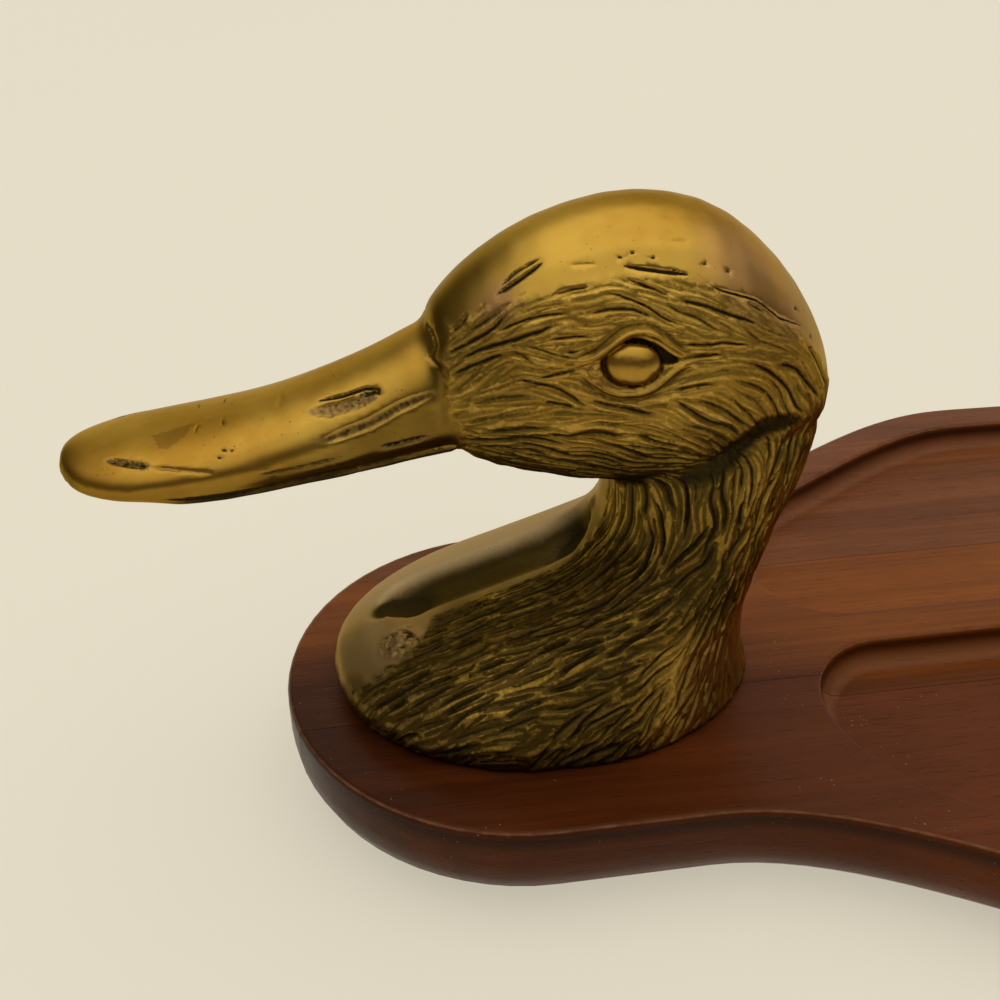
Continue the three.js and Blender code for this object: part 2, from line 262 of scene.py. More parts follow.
# Painted shade: the walls and the sides are darkened just below the top edge.
WALL_DEPTH = 0.005
WALL_SHADE = 0.8
WALL_SHADE_TINT = (0.3, 0.3, 0.3)
# Painted highlight in the coves at the foot of those walls: depths as shares of the wall, and how far the
# skin has turned up to the floor.
COVE_DEPTHS = (0.6, 0.98)
COVE_UPTURN = 0.25
COVE_HIGHLIGHT = (0.26, 0.10, 0.045, 1)
COVE_HIGHLIGHT_SHARE = 0.5
# Painted light: the near stave is paler towards the tail, away from the head's shade.
NEAR_TAIL_LIGHT = (0.20, 0.047, 0.011, 1)
NEAR_TAIL_LIGHT_ENDS = (-0.075, -0.015)
NEAR_TAIL_LIGHT_SHARE = 0.4
# Painted shade: the near half of the front end is darker, in the head's shade.
FRONT_SHADE = (0.028, 0.0075, 0.0022, 1)
FRONT_SHADE_ENDS = (-0.118, -0.088)
FRONT_SHADE_SIDE = (0.012, -0.004)
FRONT_SHADE_SHARE = 0.7
LACQUER_TINT = (1.0, 0.74, 0.52, 1)
SHARP_ANGLE = math.radians(40)
FLAT_SIDE = 0.999
SIDE_REACH = 1e-5
FLATS_WEIGHT = 90


def tinted(colour, tint):
    return (*(channel * share for channel, share in zip(colour, tint)), 1)


def stave_tone(wood, node, tone, waver):
    """The stain's own colours on one stave, with painted shade at the front end and, on the near stave,
    painted light towards the tail, before wear.
    """
    dark, light = STAVES[node]["dark"], STAVES[node]["light"]
    colour = wood.mix(tone, (*dark, 1), (*light, 1))
    if node == "middle_stave":
        heart = STAVES["near_stave"]
        along = wood.math("SUBTRACT", wood.math("MINIMUM", wood.part_of("X"), HEARTWOOD_TO), HEARTWOOD_FROM)
        slanted = wood.math("ADD", wood.part_of("Y"), wood.times(along, HEARTWOOD_SLANT))
        from_near = wood.share_of(wood.math("ADD", slanted, waver), *HEARTWOOD_EDGE)
        colour = wood.mix(from_near, wood.mix(tone, (*heart["dark"], 1), (*heart["light"], 1)), colour)
    if node == "near_stave":
        # Painted light on the near stave, away from the head's shade.
        to_tail = wood.share_of(wood.part_of("X"), *NEAR_TAIL_LIGHT_ENDS)
        colour = wood.mix(wood.times(to_tail, NEAR_TAIL_LIGHT_SHARE), colour, NEAR_TAIL_LIGHT)
    if node != "far_stave":
        # Painted shade at the front end, near the head.
        from_front = wood.share_of(wood.math("ADD", wood.part_of("X"), waver), *FRONT_SHADE_ENDS)
        near_side = wood.share_of(wood.part_of("Y"), *FRONT_SHADE_SIDE)
        darkened = wood.times(wood.math("SUBTRACT", 1.0, from_front), near_side)
        colour = wood.mix(wood.times(darkened, FRONT_SHADE_SHARE), colour, FRONT_SHADE)
    return colour


def wear_and_painted_light(wood, colour, dark):
    """The colour with its blotches, painted shade on the walls, painted highlights in the coves, worn edges
    with a painted highlight, and dust.
    """
    blotch = wood.ramp(wood.noise(BLOTCH_SCALE, detail=3), (0.35, 0), (0.75, 0.28))
    colour = wood.mix(blotch, colour, tinted(dark, BLOTCH_TINT))
    below_top = wood.math("SUBTRACT", TRAY_TOP, wood.part_of("Z"))
    down_the_wall = wood.math("DIVIDE", below_top, WALL_DEPTH)
    # Painted shade on the walls and sides just below the top edge.
    shaded = wood.ramp(down_the_wall, (0.10, 0), (0.26, WALL_SHADE), (0.45, 0.8 * WALL_SHADE), (0.75, 0))
    colour = wood.mix(shaded, colour, tinted(dark, WALL_SHADE_TINT))
    # Painted highlight in the coves at the foot of the walls.
    colour = wood.mix(wood.times(wood.attribute("cove"), COVE_HIGHLIGHT_SHARE), colour, COVE_HIGHLIGHT)
    # Lighter rounded top edges: real wear, and a painted highlight along them.
    rounding = wood.ramp(wood.math("DIVIDE", below_top, EDGE_DEPTH), (0.16, 0), (0.30, 1), (0.55, 0))
    edge = wood.times(rounding, wood.ramp(wood.noise(WEAR_SCALE, detail=4), (0.36, 0.25), (0.66, 0.75)))
    colour = wood.mix(edge, colour, WORN_EDGE_HIGHLIGHT)
    chance = wood.ramp(wood.noise(DUST_PATCH_SCALE, detail=1), (0.57, 0), (0.68, 0.5))
    return wood.mix(wood.times(wood.specks(DUST_SCALE, DUST_RADIUS), chance), colour, DUST)


def stave_finish(node):
    dark, shift = STAVES[node]["dark"], STAVES[node]["shift"]
    wood = Finish(node + "_lacquered", Specular_IOR_Level=0.12, Specular_Tint=LACQUER_TINT, Coat_Weight=0.04,
                  Coat_Roughness=0.25)
    figure = wood.noise(1, detail=4, roughness=0.6, distortion=0.7, at=wood.stretched(FIGURE_STRETCH, shift))
    lines = wood.noise(1, detail=3, roughness=0.65, distortion=0.3, at=wood.stretched(LINE_STRETCH, shift))
    pores = wood.noise(1, detail=2, roughness=0.5, at=wood.stretched(PORE_STRETCH, shift))
    tone = wood.math("ADD", wood.times(figure, FIGURE_SHARE), wood.times(lines, LINE_SHARE))
    tone = wood.ramp(tone, (0.30, 0), (0.70, 1))
    waver = wood.times(wood.math("SUBTRACT", figure, 0.5), WAVER)
    colour = stave_tone(wood, node, tone, waver)
    pore_mark = wood.ramp(pores, (0.30, 1), (0.40, 0))
    colour = wood.mix(wood.times(pore_mark, PORE_SHARE), colour, (*dark, 1))
    wood.set("Base Color", wear_and_painted_light(wood, colour, dark))
    smears = wood.noise(SMEAR_SCALE, detail=4, roughness=0.6)
    wood.set("Roughness", wood.ramp(smears, (0.3, 0.26), (0.7, 0.40)))
    surface = wood.math("SUBTRACT", wood.times(lines, 0.25), wood.times(pore_mark, 0.6))
    wood.bump(surface, GRAIN_HEIGHT, 0.6)
    return wood.material


def crisp_glue_faces(mesh):
    """Parts the flat glued sides from the slanting well walls that meet them, so that these shade evenly."""
    across = [v.co.y for v in mesh.vertices]
    sides = min(across), max(across)
    for face in mesh.polygons:
        to_side = min(abs(face.center.y - side) for side in sides)
        if abs(face.normal.y) > FLAT_SIDE and to_side < SIDE_REACH:
            for loop in face.loop_indices:
                mesh.edges[mesh.loops[loop].edge_index].use_edge_sharp = True


def find_coves(mesh):
    """Marks the coves at the foot of the well walls."""
    cove = mesh.attributes.new("cove", "FLOAT", "POINT")
    highest, lowest = COVE_DEPTHS
    for vertex, normal in zip(mesh.vertices, mesh.vertex_normals):
        depth = (TRAY_TOP - vertex.co.z) / WALL_DEPTH
        cove.data[vertex.index].value = float(highest < depth < lowest and normal.vector.z > COVE_UPTURN)


for node in STAVES:
    stave = finished_piece(whole_faced_copy(node), node + "_board", stave_finish(node))
    stave.data.set_sharp_from_angle(angle=SHARP_ANGLE)
    crisp_glue_faces(stave.data)
    find_coves(stave.data)
    weighted = stave.modifiers.new("even shading on the flats", "WEIGHTED_NORMAL")
    weighted.keep_sharp = True
    weighted.weight = FLATS_WEIGHT
    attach(stave, "root")
    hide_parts(node)


# Fixings: two zinc plated slotted screws with washers, driven up through the tray into the casting.
# They sit in counterbores under the felt, and keep the shapes of the solids.
ZINC_DARK = (0.30, 0.31, 0.32, 1)
ZINC_LIGHT = (0.62, 0.63, 0.64, 1)
ZINC_CLOUD_SCALE = 420
ZINC_GRAIN_SCALE = 2600
ZINC_GRAIN_HEIGHT = 0.00004


def zinc_finish():
    zinc = Finish("zinc_plating", Metallic=1.0)
    clouds = zinc.noise(ZINC_CLOUD_SCALE, detail=4)
    zinc.set("Base Color", zinc.mix(clouds, ZINC_DARK, ZINC_LIGHT))
    zinc.set("Roughness", zinc.ramp(clouds, (0.3, 0.30), (0.7, 0.48)))
    zinc.bump(zinc.noise(ZINC_GRAIN_SCALE, detail=3), ZINC_GRAIN_HEIGHT, 0.5)
    return zinc.material


zinc = zinc_finish()
for end in ("front", "rear"):
    for fixing in ("fixing_screw", "washer"):
        fixing_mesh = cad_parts[f"{end}_{fixing}"].data
        fixing_mesh.materials.clear()
        fixing_mesh.materials.append(zinc)


# Duck head: one hollow brass casting of head, bill, neck and chest, screwed down from below.
# Its feathers, lids and nostrils are cast and then chased with a graver. Old patina lies in every
# groove, and handling keeps the crown, the bill and the ridges bright.
HEAD = "duck_head_casting"
# Its lengths are millimetres in the head's own frame, whose origin is the middle of the foot.
MM = 0.001
BILL_TIP_TO_FOOT_CENTRE = 70.4
SKIN_VOXEL = 0.8
SMOOTHING_PASSES = 36
SMOOTHING_STEPS = (0.55, -0.57)
SEAT_REACH = 1e-5
CHASED_CUTS = 3
TRIANGLE_LIMIT = 190000
casting_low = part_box(HEAD)[0]
foot_centre = Vector((casting_low.x + BILL_TIP_TO_FOOT_CENTRE * MM, 0, casting_low.z))


def mesh_places(mesh):
    """A mesh's vertices as an array of millimetre places in the head's frame."""
    flat = np.empty(len(mesh.vertices) * 3)
    mesh.vertices.foreach_get("co", flat)
    return (flat.reshape(-1, 3) - np.array(foot_centre)) / MM


def set_mesh_places(mesh, places):
    mesh.vertices.foreach_set("co", (places * MM + np.array(foot_centre)).ravel())
    mesh.update()


def evaluated_mesh(piece):
    """The mesh of an object with its modifiers applied."""
    graph = bpy.context.evaluated_depsgraph_get()
    return bpy.data.meshes.new_from_object(piece.evaluated_get(graph))


def outer_skin():
    """The casting's outside alone: the seat ring goes, then the core, and the foot is closed again."""
    bm = merged_copy(HEAD)
    seat = [f for f in bm.faces if all(abs(v.co.z - casting_low.z) < SEAT_REACH for v in f.verts)]
    bmesh.ops.delete(bm, geom=seat, context="FACES")
    reached = {max(bm.verts, key=lambda v: v.co.z)}
    front = list(reached)
    while front:
        vertex = front.pop()
        for neighbour in (e.other_vert(vertex) for e in vertex.link_edges):
            if neighbour not in reached:
                reached.add(neighbour)
                front.append(neighbour)
    bmesh.ops.delete(bm, geom=[v for v in bm.verts if v not in reached], context="VERTS")
    bmesh.ops.holes_fill(bm, edges=bm.edges, sides=0)
    mesh = bpy.data.meshes.new("head_skin")
    bm.to_mesh(mesh)
    bm.free()
    return mesh


def relax(mesh, passes):
    """Evens out facets without shrinking: each pass pulls every vertex in, then pushes it back out."""
    places = mesh_places(mesh)
    ends = np.empty(len(mesh.edges) * 2, dtype=np.int64)
    mesh.edges.foreach_get("vertices", ends)
    first, second = ends[0::2], ends[1::2]
    count = len(places)
    valence = np.bincount(ends, minlength=count)[:, None]
    for step in SMOOTHING_STEPS * passes:
        total = np.stack([np.bincount(first, places[second, axis], count)
                          + np.bincount(second, places[first, axis], count) for axis in range(3)], axis=1)
        places = places + step * (total / valence - places)
    places[:, 2] = np.maximum(places[:, 2], 0)
    set_mesh_places(mesh, places)


def soft_step(share):
    """0 below 0, 1 above 1 and a smooth rise between them."""
    share = np.clip(share, 0, 1)
    return share * share * (3 - 2 * share)


def rise(value, start, end):
    """0 before the start, 1 past the end, which may be the lower one, and smooth between them."""
    return soft_step((value - start) / (end - start))


def away_from(place, places):
    """How far each of the places lies from one place."""
    return np.linalg.norm(places - np.array(place), axis=1)


def noise_at(places, size):
    """Soft noise from -1 to 1, with lumps of about one size."""
    return np.array([noise.noise(Vector(place) / size) for place in places])


def head_normals(mesh):
    flat = np.empty(len(mesh.vertices) * 3)
    mesh.vertex_normals.foreach_get("vector", flat)
    return flat.reshape(-1, 3)


# Eyes, measured along and up from the middle of the eyeball. They are laid into a smooth skull.
EYE_PLACE = (8.8, 60.3)
EYEBALL = (3.75, 2.8, 1.75)
EYE_RING = (4.35, 3.35)
EYE_RING_SHIFT = 0.15
EYE_RING_SHADE = 0.68
EYE_RECESS = 0.8
EYE_DENTS = 0.12
LIDS = (6.4, 4.6)
# The lines of the lids: height, where it is highest, half the length, squareness, and height of the corners.
UPPER_LID = (3.85, 0.9, 4.9, 2.2, -0.1)
LOWER_LID = (-3.75, -0.6, 5.4, 3.0, 0.1)
UPPER_LID_HEIGHT = 0.85
LOWER_LID_HEIGHT = 0.6
LID_GROOVE_DEPTH = 0.3
LID_GROOVE_DARK = 0.65
EYE_PATCH = 8.5
BALL_TARNISH = 0.12
LID_TARNISH = 0.45


def level_eyes(mesh):
    """Takes the solid's plain eyes away: each gives way to a smooth skull, fitted to the skin around it."""
    places = mesh_places(mesh)
    x, z = places[:, 0] - EYE_PLACE[0], places[:, 2] - EYE_PLACE[1]
    spread = np.hypot(x, z)
    terms = np.stack([np.ones_like(x), x, z, x * x, x * z, z * z], axis=1)
    for side in (-1, 1):
        on_side = np.sign(places[:, 1]) == side
        ring = on_side & (spread > EYE_PATCH) & (spread < EYE_PATCH + 4)
        level, *_ = np.linalg.lstsq(terms[ring], places[ring, 1], rcond=None)
        patch = on_side & (spread < EYE_PATCH + 3)
        blend = rise(spread[patch], EYE_PATCH + 1.5, EYE_PATCH - 1.5)
        places[patch, 1] += blend * (terms[patch] @ level - places[patch, 1])
    set_mesh_places(mesh, places)


def lid_line(along, height, middle, half_length, squareness, corners):
    """How far up the line of a lid runs at each place along the eye."""
    return height * np.exp(-(np.abs(along - middle) / half_length) ** squareness) + corners


def above_lid(lid, along, up):
    """How far a place lies above the line of a lid, measured square to that line."""
    slope = (lid_line(along + 0.01, *lid) - lid_line(along - 0.01, *lid)) / 0.02
    return (up - lid_line(along, *lid)) / np.hypot(1, slope)


def eye_relief(along, up):
    """Height of the eye over the skull, how dark it is painted there, with painted shade in the opening and
    patina in the lid grooves, and where the ball is.
    """
    half_length, half_height, bulge = EYEBALL
    radius = np.hypot(along / half_length, up / half_height)
    ball = bulge * np.sqrt(np.clip(1 - radius ** 2, 0, 1)) - 0.6 * EYE_RECESS
    to_upper = -above_lid(UPPER_LID, along, up)
    to_lower = above_lid(LOWER_LID, along, up)
    between_lids = np.minimum(to_upper, to_lower)
    ring_along, ring_up = (along + EYE_RING_SHIFT) / EYE_RING[0], (up - EYE_RING_SHIFT) / EYE_RING[1]
    ring = rise(np.hypot(ring_along, ring_up), 1, 0.88)
    outer_corner = rise(between_lids, 0.5, 0.8) * rise(along, 2, 3) * rise(up, -0.4, 0.1)
    opening = np.maximum(ring, outer_corner) * rise(between_lids, 0.2, 0.5)
    fade = rise(np.abs(along), 9.5, 5.5)
    lids = UPPER_LID_HEIGHT * np.exp(-((to_upper + 0.4) / 0.42) ** 2)
    lids += LOWER_LID_HEIGHT * np.exp(-((to_lower + 0.3) / 0.36) ** 2)
    inner_corner = 0.7 * np.exp(-((along + 5.1) / 0.8) ** 2 - ((up + 0.5) / 0.6) ** 2)
    height = fade * lids + inner_corner - EYE_RECESS * opening
    on_ball = radius < 1
    height = np.where(on_ball, np.maximum(ball, height), height)
    # Painted shade in the deep opening round the ball.
    to_outer_corner = EYE_RING_SHADE + (1 - EYE_RING_SHADE) * rise(along + up, -0.5, 2.5)
    dark = opening * to_outer_corner * (radius > 0.97)
    grooves = np.maximum(np.exp(-((to_upper + 1.15) / 0.3) ** 2), np.exp(-((to_lower + 0.95) / 0.3) ** 2))
    height = height - LID_GROOVE_DEPTH * fade * grooves
    return height, np.maximum(dark, LID_GROOVE_DARK * fade * grooves), on_ball


def sculpt_eyes(places, normals, hollow, polish, tarnish_and_shade):
    """Adds the relief of both eyes to the skin, with the painted shade and patina around the balls."""
    along, up = places[:, 0] - EYE_PLACE[0], places[:, 2] - EYE_PLACE[1]
    share = rise(np.hypot(along / LIDS[0], up / LIDS[1]), 1.3, 1.05)
    height, dark, on_ball = eye_relief(along, up)
    dents = noise_at(places, 1.1)
    height = height + EYE_DENTS * on_ball * dents
    for side in (-1, 1):
        patch = (np.sign(places[:, 1]) == side) & (share > 0) & (np.abs(up) < EYE_PATCH)
        outward = normals[patch].mean(0)
        outward /= np.linalg.norm(outward)
        places[patch] += (share * height)[patch, None] * outward
        hollow[patch] = (hollow * (1 - share) + dark * share)[patch]
        polish[patch] = np.maximum(polish * (1 - share) + 0.4 * share, on_ball)[patch]
        browned_and_shaded = np.maximum(tarnish_and_shade, LID_TARNISH * share)
        tarnish_and_shade[patch] = np.where(on_ball, BALL_TARNISH * (1 + 0.8 * dents), browned_and_shaded)[patch]


skin = bpy.data.objects.new("duck_head", outer_skin())
bpy.context.scene.collection.objects.link(skin)
remesh = skin.modifiers.new("even mesh", "REMESH")
remesh.mode = "VOXEL"
remesh.voxel_size = SKIN_VOXEL * MM
smooth_skin = evaluated_mesh(skin)
skin.modifiers.clear()
relax(smooth_skin, SMOOTHING_PASSES)
level_eyes(smooth_skin)

# Where the feathers end on the side of the head, (x, z): above this line the crown is smooth.
CROWN_LINE = [(-15, 63), (-12, 65), (-8, 67), (-4, 68.5), (0, 69.5), (4.4, 70.4), (8.3, 71), (17, 70),
              (21, 68.2), (26.5, 66), (30, 63.2), (34, 60.6), (37, 56.5), (42, 48)]
# Where they begin behind the bill, (z, x).
BILL_LINE = [(44, -13.5), (50, -14.5), (53, -15), (56, -15.5), (61, -15.3), (63, -14.6), (70, -12)]
# The near edge of the smooth breast, (x, y), which narrows into the throat. Its far edge lies where
# the breast turns down.
BREAST_NEAR = [(-33, -9.5), (-28.5, -10), (-25.5, -10.5), (-22.5, -9), (-20, -5), (-18.4, -2.6),
               (-12.5, -2.2), (-4.6, -2.6), (1, -2.8), (5.4, -3.2), (9, -2), (12, 0.5)]
FAR_TURN = 0.78
FAR_TURN_REACH = 12
# The feathers thin out towards the front of the chest, (x, share), which bows round to the near side.
CHEST_FADE = [(-26, 0.4), (-18, 1.0)]
CHEST_FRONT = -31
CHEST_FRONT_BOW = 2.5
CHEST_FRONT_FADE = 0.15
THROAT_END = 12.5
THROAT_TOP = 41
THROAT_TILT = -0.4
BEHIND_THROAT = 2.0
JAW_BOTTOM = 34
LID_MARGIN = 0.4
NAPE_STRIP = 2.2
NAPE_FROM = 20
NAPE_TURN = 0.75
SEAT_GAP = 0.4
RAGGED_EDGE = 1.1
RAGGED_SIZE = 1.6
FEATHER_EDGE = 1.2
# A pitted knob on the near side of the breast.
KNOB_PLACE = (-24.0, -5.6, 10.4)
KNOB_RADIUS = 4.2
KNOB_HEIGHT = 0.8
KNOB_PIT_SIZE = 0.9
KNOB_PIT_DEPTH = 0.6
KNOB_PIT_DARK = 0.8


def feathered(places, normals):
    """1 on the feathers and 0 on the smooth bill, crown, eyes, breast, throat and nape."""
    x, y, z = places.T
    below_crown = np.interp(x, *zip(*CROWN_LINE)) - z
    behind_bill = x - np.interp(z, *zip(*BILL_LINE))
    off_the_eye = (np.hypot((x - EYE_PLACE[0]) / LIDS[0], (z - EYE_PLACE[1]) / LIDS[1]) - 1) * LIDS[1]
    on_head = np.minimum(np.minimum(below_crown, behind_bill), off_the_eye + LID_MARGIN)
    past_far_turn = FAR_TURN_REACH * (normals[:, 1] - FAR_TURN)
    on_chest = np.maximum(np.interp(x, *zip(*BREAST_NEAR)) - y, past_far_turn)
    on_neck = np.where(x > THROAT_END, BEHIND_THROAT, on_chest * np.interp(x, *zip(*CHEST_FADE)))
    throat = (z < THROAT_TOP) & (x < THROAT_END) & (normals[:, 2] > THROAT_TILT)
    chest_front = CHEST_FRONT - CHEST_FRONT_BOW * rise(y, -5, -10)
    on_neck = np.minimum(on_neck, CHEST_FRONT_FADE * (x - chest_front))
    inside = np.where((z > JAW_BOTTOM) & ~throat, on_head, on_neck)
    off_the_nape = np.abs(y) - NAPE_STRIP
    on_nape = (normals[:, 0] > NAPE_TURN) & (x > NAPE_FROM)
    inside = np.where(on_nape, np.minimum(inside, off_the_nape), inside)
    inside = np.minimum(inside, away_from(KNOB_PLACE, places) - 0.8 * KNOB_RADIUS)
    ragged = inside + RAGGED_EDGE * noise_at(places, RAGGED_SIZE)
    return soft_step(np.where(z < SEAT_GAP, 0, ragged) / FEATHER_EDGE + 0.3)


# How the feathers lie, as drawn strokes (x, z) on the side of the head: from bill to nape, then down the
# neck.
LIE_OF_FEATHERS = [
    [(-13.5, 63.5), (-7.5, 68.5), (-2, 72)],
    [(-14, 61.5), (-9.5, 64.5), (-5, 67.5)],
    [(-9.5, 62.5), (-3, 66.5), (5, 70.5)],
    [(-14.5, 60), (-7.5, 62), (-1.5, 60.5), (3.5, 61)],
    [(-6, 65), (-2, 66), (3, 64.5)],
    [(2.5, 69), (4.5, 68), (8, 68)],
    [(2.5, 61.5), (5.5, 64), (9.5, 64.5), (13, 63.5), (15, 61.5)],
    [(2.5, 59.5), (5, 56.6), (8.8, 55.6), (12.5, 56.6), (15.5, 59)],
    [(15, 63), (22, 61.5), (30, 59.5)],
    [(16, 66.5), (21.5, 64), (23.5, 62.5)],
    [(8.5, 68.5), (12, 67.5), (14.5, 65.5)],
    [(19, 70.5), (26.5, 67.5), (33, 62.5), (36.5, 57.5)],
    [(22, 68), (27.5, 64.5), (31.5, 61)],
    [(14, 59.5), (22, 59.5), (28, 57), (31.5, 52.5)],
    [(15, 57), (20, 57), (26, 54), (30, 49.5)],
    [(30.5, 58.5), (34.5, 55), (36, 51)],
    [(-14.5, 53.5), (-9.5, 56.5), (-4, 57.5), (0.5, 55.5), (5.5, 53)],
    [(-14, 50.5), (-7.5, 53), (-3.5, 52.5)],
    [(-4.5, 51), (2.5, 52), (10, 50.5), (15.5, 48.5)],
    [(-12.5, 44), (-2, 44), (9.5, 41), (15, 41.5), (20.5, 43)],
    [(6, 54), (13, 52), (19, 49), (22, 45.5)],
    [(15, 55.5), (20.5, 52.5), (24.5, 49)],
    [(20.5, 40), (20.5, 33.5)],
    [(23.5, 40.5), (23.5, 34), (20.5, 27.5), (13, 21.5)],
    [(16.5, 37), (17.5, 32.5), (15.5, 26.5)],
    [(12.5, 33), (13.5, 30.5), (12, 27.5)],
    [(9, 28), (5, 23)],
    [(26, 39.5), (26, 31), (22.5, 24.5), (15.5, 19), (6.5, 15), (-6, 11.5), (-20, 5.5)],
    [(11, 24), (3.5, 19), (-9, 15), (-22, 10.5), (-29, 7)],
    [(7.5, 18.5), (-1, 16.5), (-7.5, 14.5), (-11.5, 12.5)],
    [(15.5, 15.5), (4.5, 12), (-10.5, 9.5), (-23.5, 1)],
    [(22.5, 22.5), (18, 17), (12, 13), (1.5, 6), (-3, 2)],
    [(26, 25), (25, 16), (20.5, 9.5), (14.5, 4.5), (9.5, 0.5)],
    [(-21.5, 9.5), (-28, 6)],
    [(34, 46), (33, 36), (29, 24), (28, 12), (29, 2)],
]
LIE_REACH = 1.6
# How far the hand wanders from the lie, in radians, over how long a stretch.
BROAD_WANDER = 0.5
BROAD_STRETCH = 4.0
FINE_WANDER = 0.22
FINE_STRETCH = 1.7


def along_strokes(strokes, step=1.0):
    """Evenly spaced places along drawn strokes, and the direction at each."""
    places, directions = [], []
    for stroke in strokes:
        for start, end in zip(stroke, stroke[1:]):
            start, end = np.array(start, float), np.array(end, float)
            run = end - start
            length = np.linalg.norm(run)
            for share in np.arange(0, 1, step / length):
                places.append(start + share * run)
                directions.append(run / length)
    return np.array(places), np.array(directions)


lie_places, lie_directions = along_strokes(LIE_OF_FEATHERS)


def lie_of_feathers(place, veer):
    """How the feathers lie near a place, with the hand's unevenness and one cut's own veer."""
    offsets = lie_places - (place.x, place.z)
    weights = 1 / ((offsets ** 2).sum(1) + LIE_REACH ** 2) ** 2
    run = weights @ lie_directions
    wander = veer + BROAD_WANDER * noise.noise(place / BROAD_STRETCH)
    wander += FINE_WANDER * noise.noise(place / FINE_STRETCH)
    turn_cos, turn_sin = math.cos(wander), math.sin(wander)
    return Vector((run[0] * turn_cos - run[1] * turn_sin, 0, run[0] * turn_sin + run[1] * turn_cos))


# The graver's cuts. Broad ones part the feathers into locks, and fine ones split each lock into barbs.
# Spacing, length and depth change with the height on the head.
CUT_HEIGHTS = [0, 16, 22, 36, 41, 46, 75]
LOCK_CUTS = {
    "spacing": [1.75, 1.75, 1.7, 1.75, 1.45, 1.6, 1.7],
    "veer": [0.38, 0.38, 0.30, 0.18, 0.12, 0.18, 0.22],
    "length": [9, 9, 11, 15, 16, 15, 14],
    "depth": [0.62, 0.62, 0.58, 0.55, 0.42, 0.50, 0.50],
    "half_width": 0.46,
    "shortest": 3.5,
    "seed": 7,
}
BARB_CUTS = {
    "spacing": [0.9, 0.88, 0.8, 0.72, 0.6, 0.66, 0.68],
    "veer": [0.25, 0.25, 0.2, 0.12, 0.1, 0.12, 0.15],
    "length": [7, 7, 8, 9, 9, 8, 8],
    "depth": [0.34, 0.34, 0.32, 0.28, 0.22, 0.26, 0.27],
    "half_width": 0.6,
    "shortest": 1.6,
    "seed": 19,
}
CUT_STEP = 0.4
NEIGHBOUR_GAP = 0.4
# A cut starts well inside the feathers, and ends near their edge or where the skin turns across their lie.
START_SHARE = 0.5
END_SHARE = 0.3
LEAST_RUN = 0.15
# How unevenly the hand cuts, as shares of the values above.
SPACING_RANGE = (0.8, 1.2)
LENGTH_RANGE = (0.55, 1.2)
WIDTH_RANGE = (0.6, 1.1)
DEPTH_RANGE = (0.3, 1.3)


class Cuts:
    """Cuts of one kind, as places with a half width, a depth and a finish, kept in cells for searching."""

    def __init__(self, cell=2.0):
        self.cell = cell
        self.places, self.half_widths, self.depths, self.rough, self.dark = [], [], [], [], []
        self.before, self.after = [], []
        self.cells = {}

    def cell_of(self, place):
        return tuple(int(math.floor(c / self.cell)) for c in place)

    def clear_of(self, place, distance):
        i, j, k = self.cell_of(place)
        limit = distance * distance
        for a in (i - 1, i, i + 1):
            for b in (j - 1, j, j + 1):
                for c in (k - 1, k, k + 1):
                    for other in self.cells.get((a, b, c), ()):
                        if (other - place).length_squared < limit:
                            return False
        return True

    def add(self, path, half_width, depth, rough=0.0, dark=1.0, taper=0.3):
        """Adds a cut along a path; its width and depth run out over the taper's share at both ends."""
        last = max(1, len(path) - 1)
        first = len(self.places)
        for i, place in enumerate(path):
            to_end = min(i, last - i) / last
            self.before.append(first + max(0, i - 1))
            self.after.append(first + min(len(path) - 1, i + 1))
            swell = math.sin(min(1.0, to_end / taper) * math.pi / 2)
            self.places.append(place)
            self.half_widths.append(half_width * (0.45 + 0.55 * swell))
            self.depths.append(depth * swell)
            self.rough.append(rough)
            self.dark.append(dark)
            self.cells.setdefault(self.cell_of(place), []).append(place)

    def closest(self, places):
        """For every place: the index of the closest place on a cut, and how far away that is."""
        tree = KDTree(len(self.places))
        for i, place in enumerate(self.places):
            tree.insert(place, i)
        tree.balance()
        found = [tree.find(place) for place in places]
        return np.array([hit[1] for hit in found]), np.array([hit[2] for hit in found])

    def nearest(self, places):
        """For every place: how near it is to a cut, 1 on its line to 0 at its edge, and that cut's values."""
        index, away = self.closest(places)
        line = np.array(self.places)
        for neighbours in (self.before, self.after):
            run = line[np.array(neighbours)[index]] - line[index]
            offset = places - line[index]
            share = (offset * run).sum(1) / np.maximum((run ** 2).sum(1), 1e-9)
            to_line = np.linalg.norm(offset - np.clip(share, 0, 1)[:, None] * run, axis=1)
            away = np.minimum(away, to_line)
        near = np.clip(1 - away / np.array(self.half_widths)[index], 0, 1)
        return near, np.array(self.depths)[index], np.array(self.rough)[index], np.array(self.dark)[index]


def trace(start, skin_tree, cuts, spacing, length, heading, veer):
    """Follows the lie of the feathers from a place over the skin, until a neighbour is too close."""
    path, place, travelled = [], start, 0.0
    while travelled < length:
        nearest, normal, _, _ = skin_tree.find_nearest(place)
        lie = lie_of_feathers(nearest, veer) * heading
        run = lie - lie.dot(normal) * normal
        if run.length < LEAST_RUN * lie.length:
            break
        place, normal, _, _ = skin_tree.find_nearest(nearest + run.normalized() * CUT_STEP)
        share = feathered(np.array([place]), np.array([normal]))[0]
        if share < END_SHARE or not cuts.clear_of(place, NEIGHBOUR_GAP * spacing):
            break
        path.append(place)
        travelled += CUT_STEP
    return path


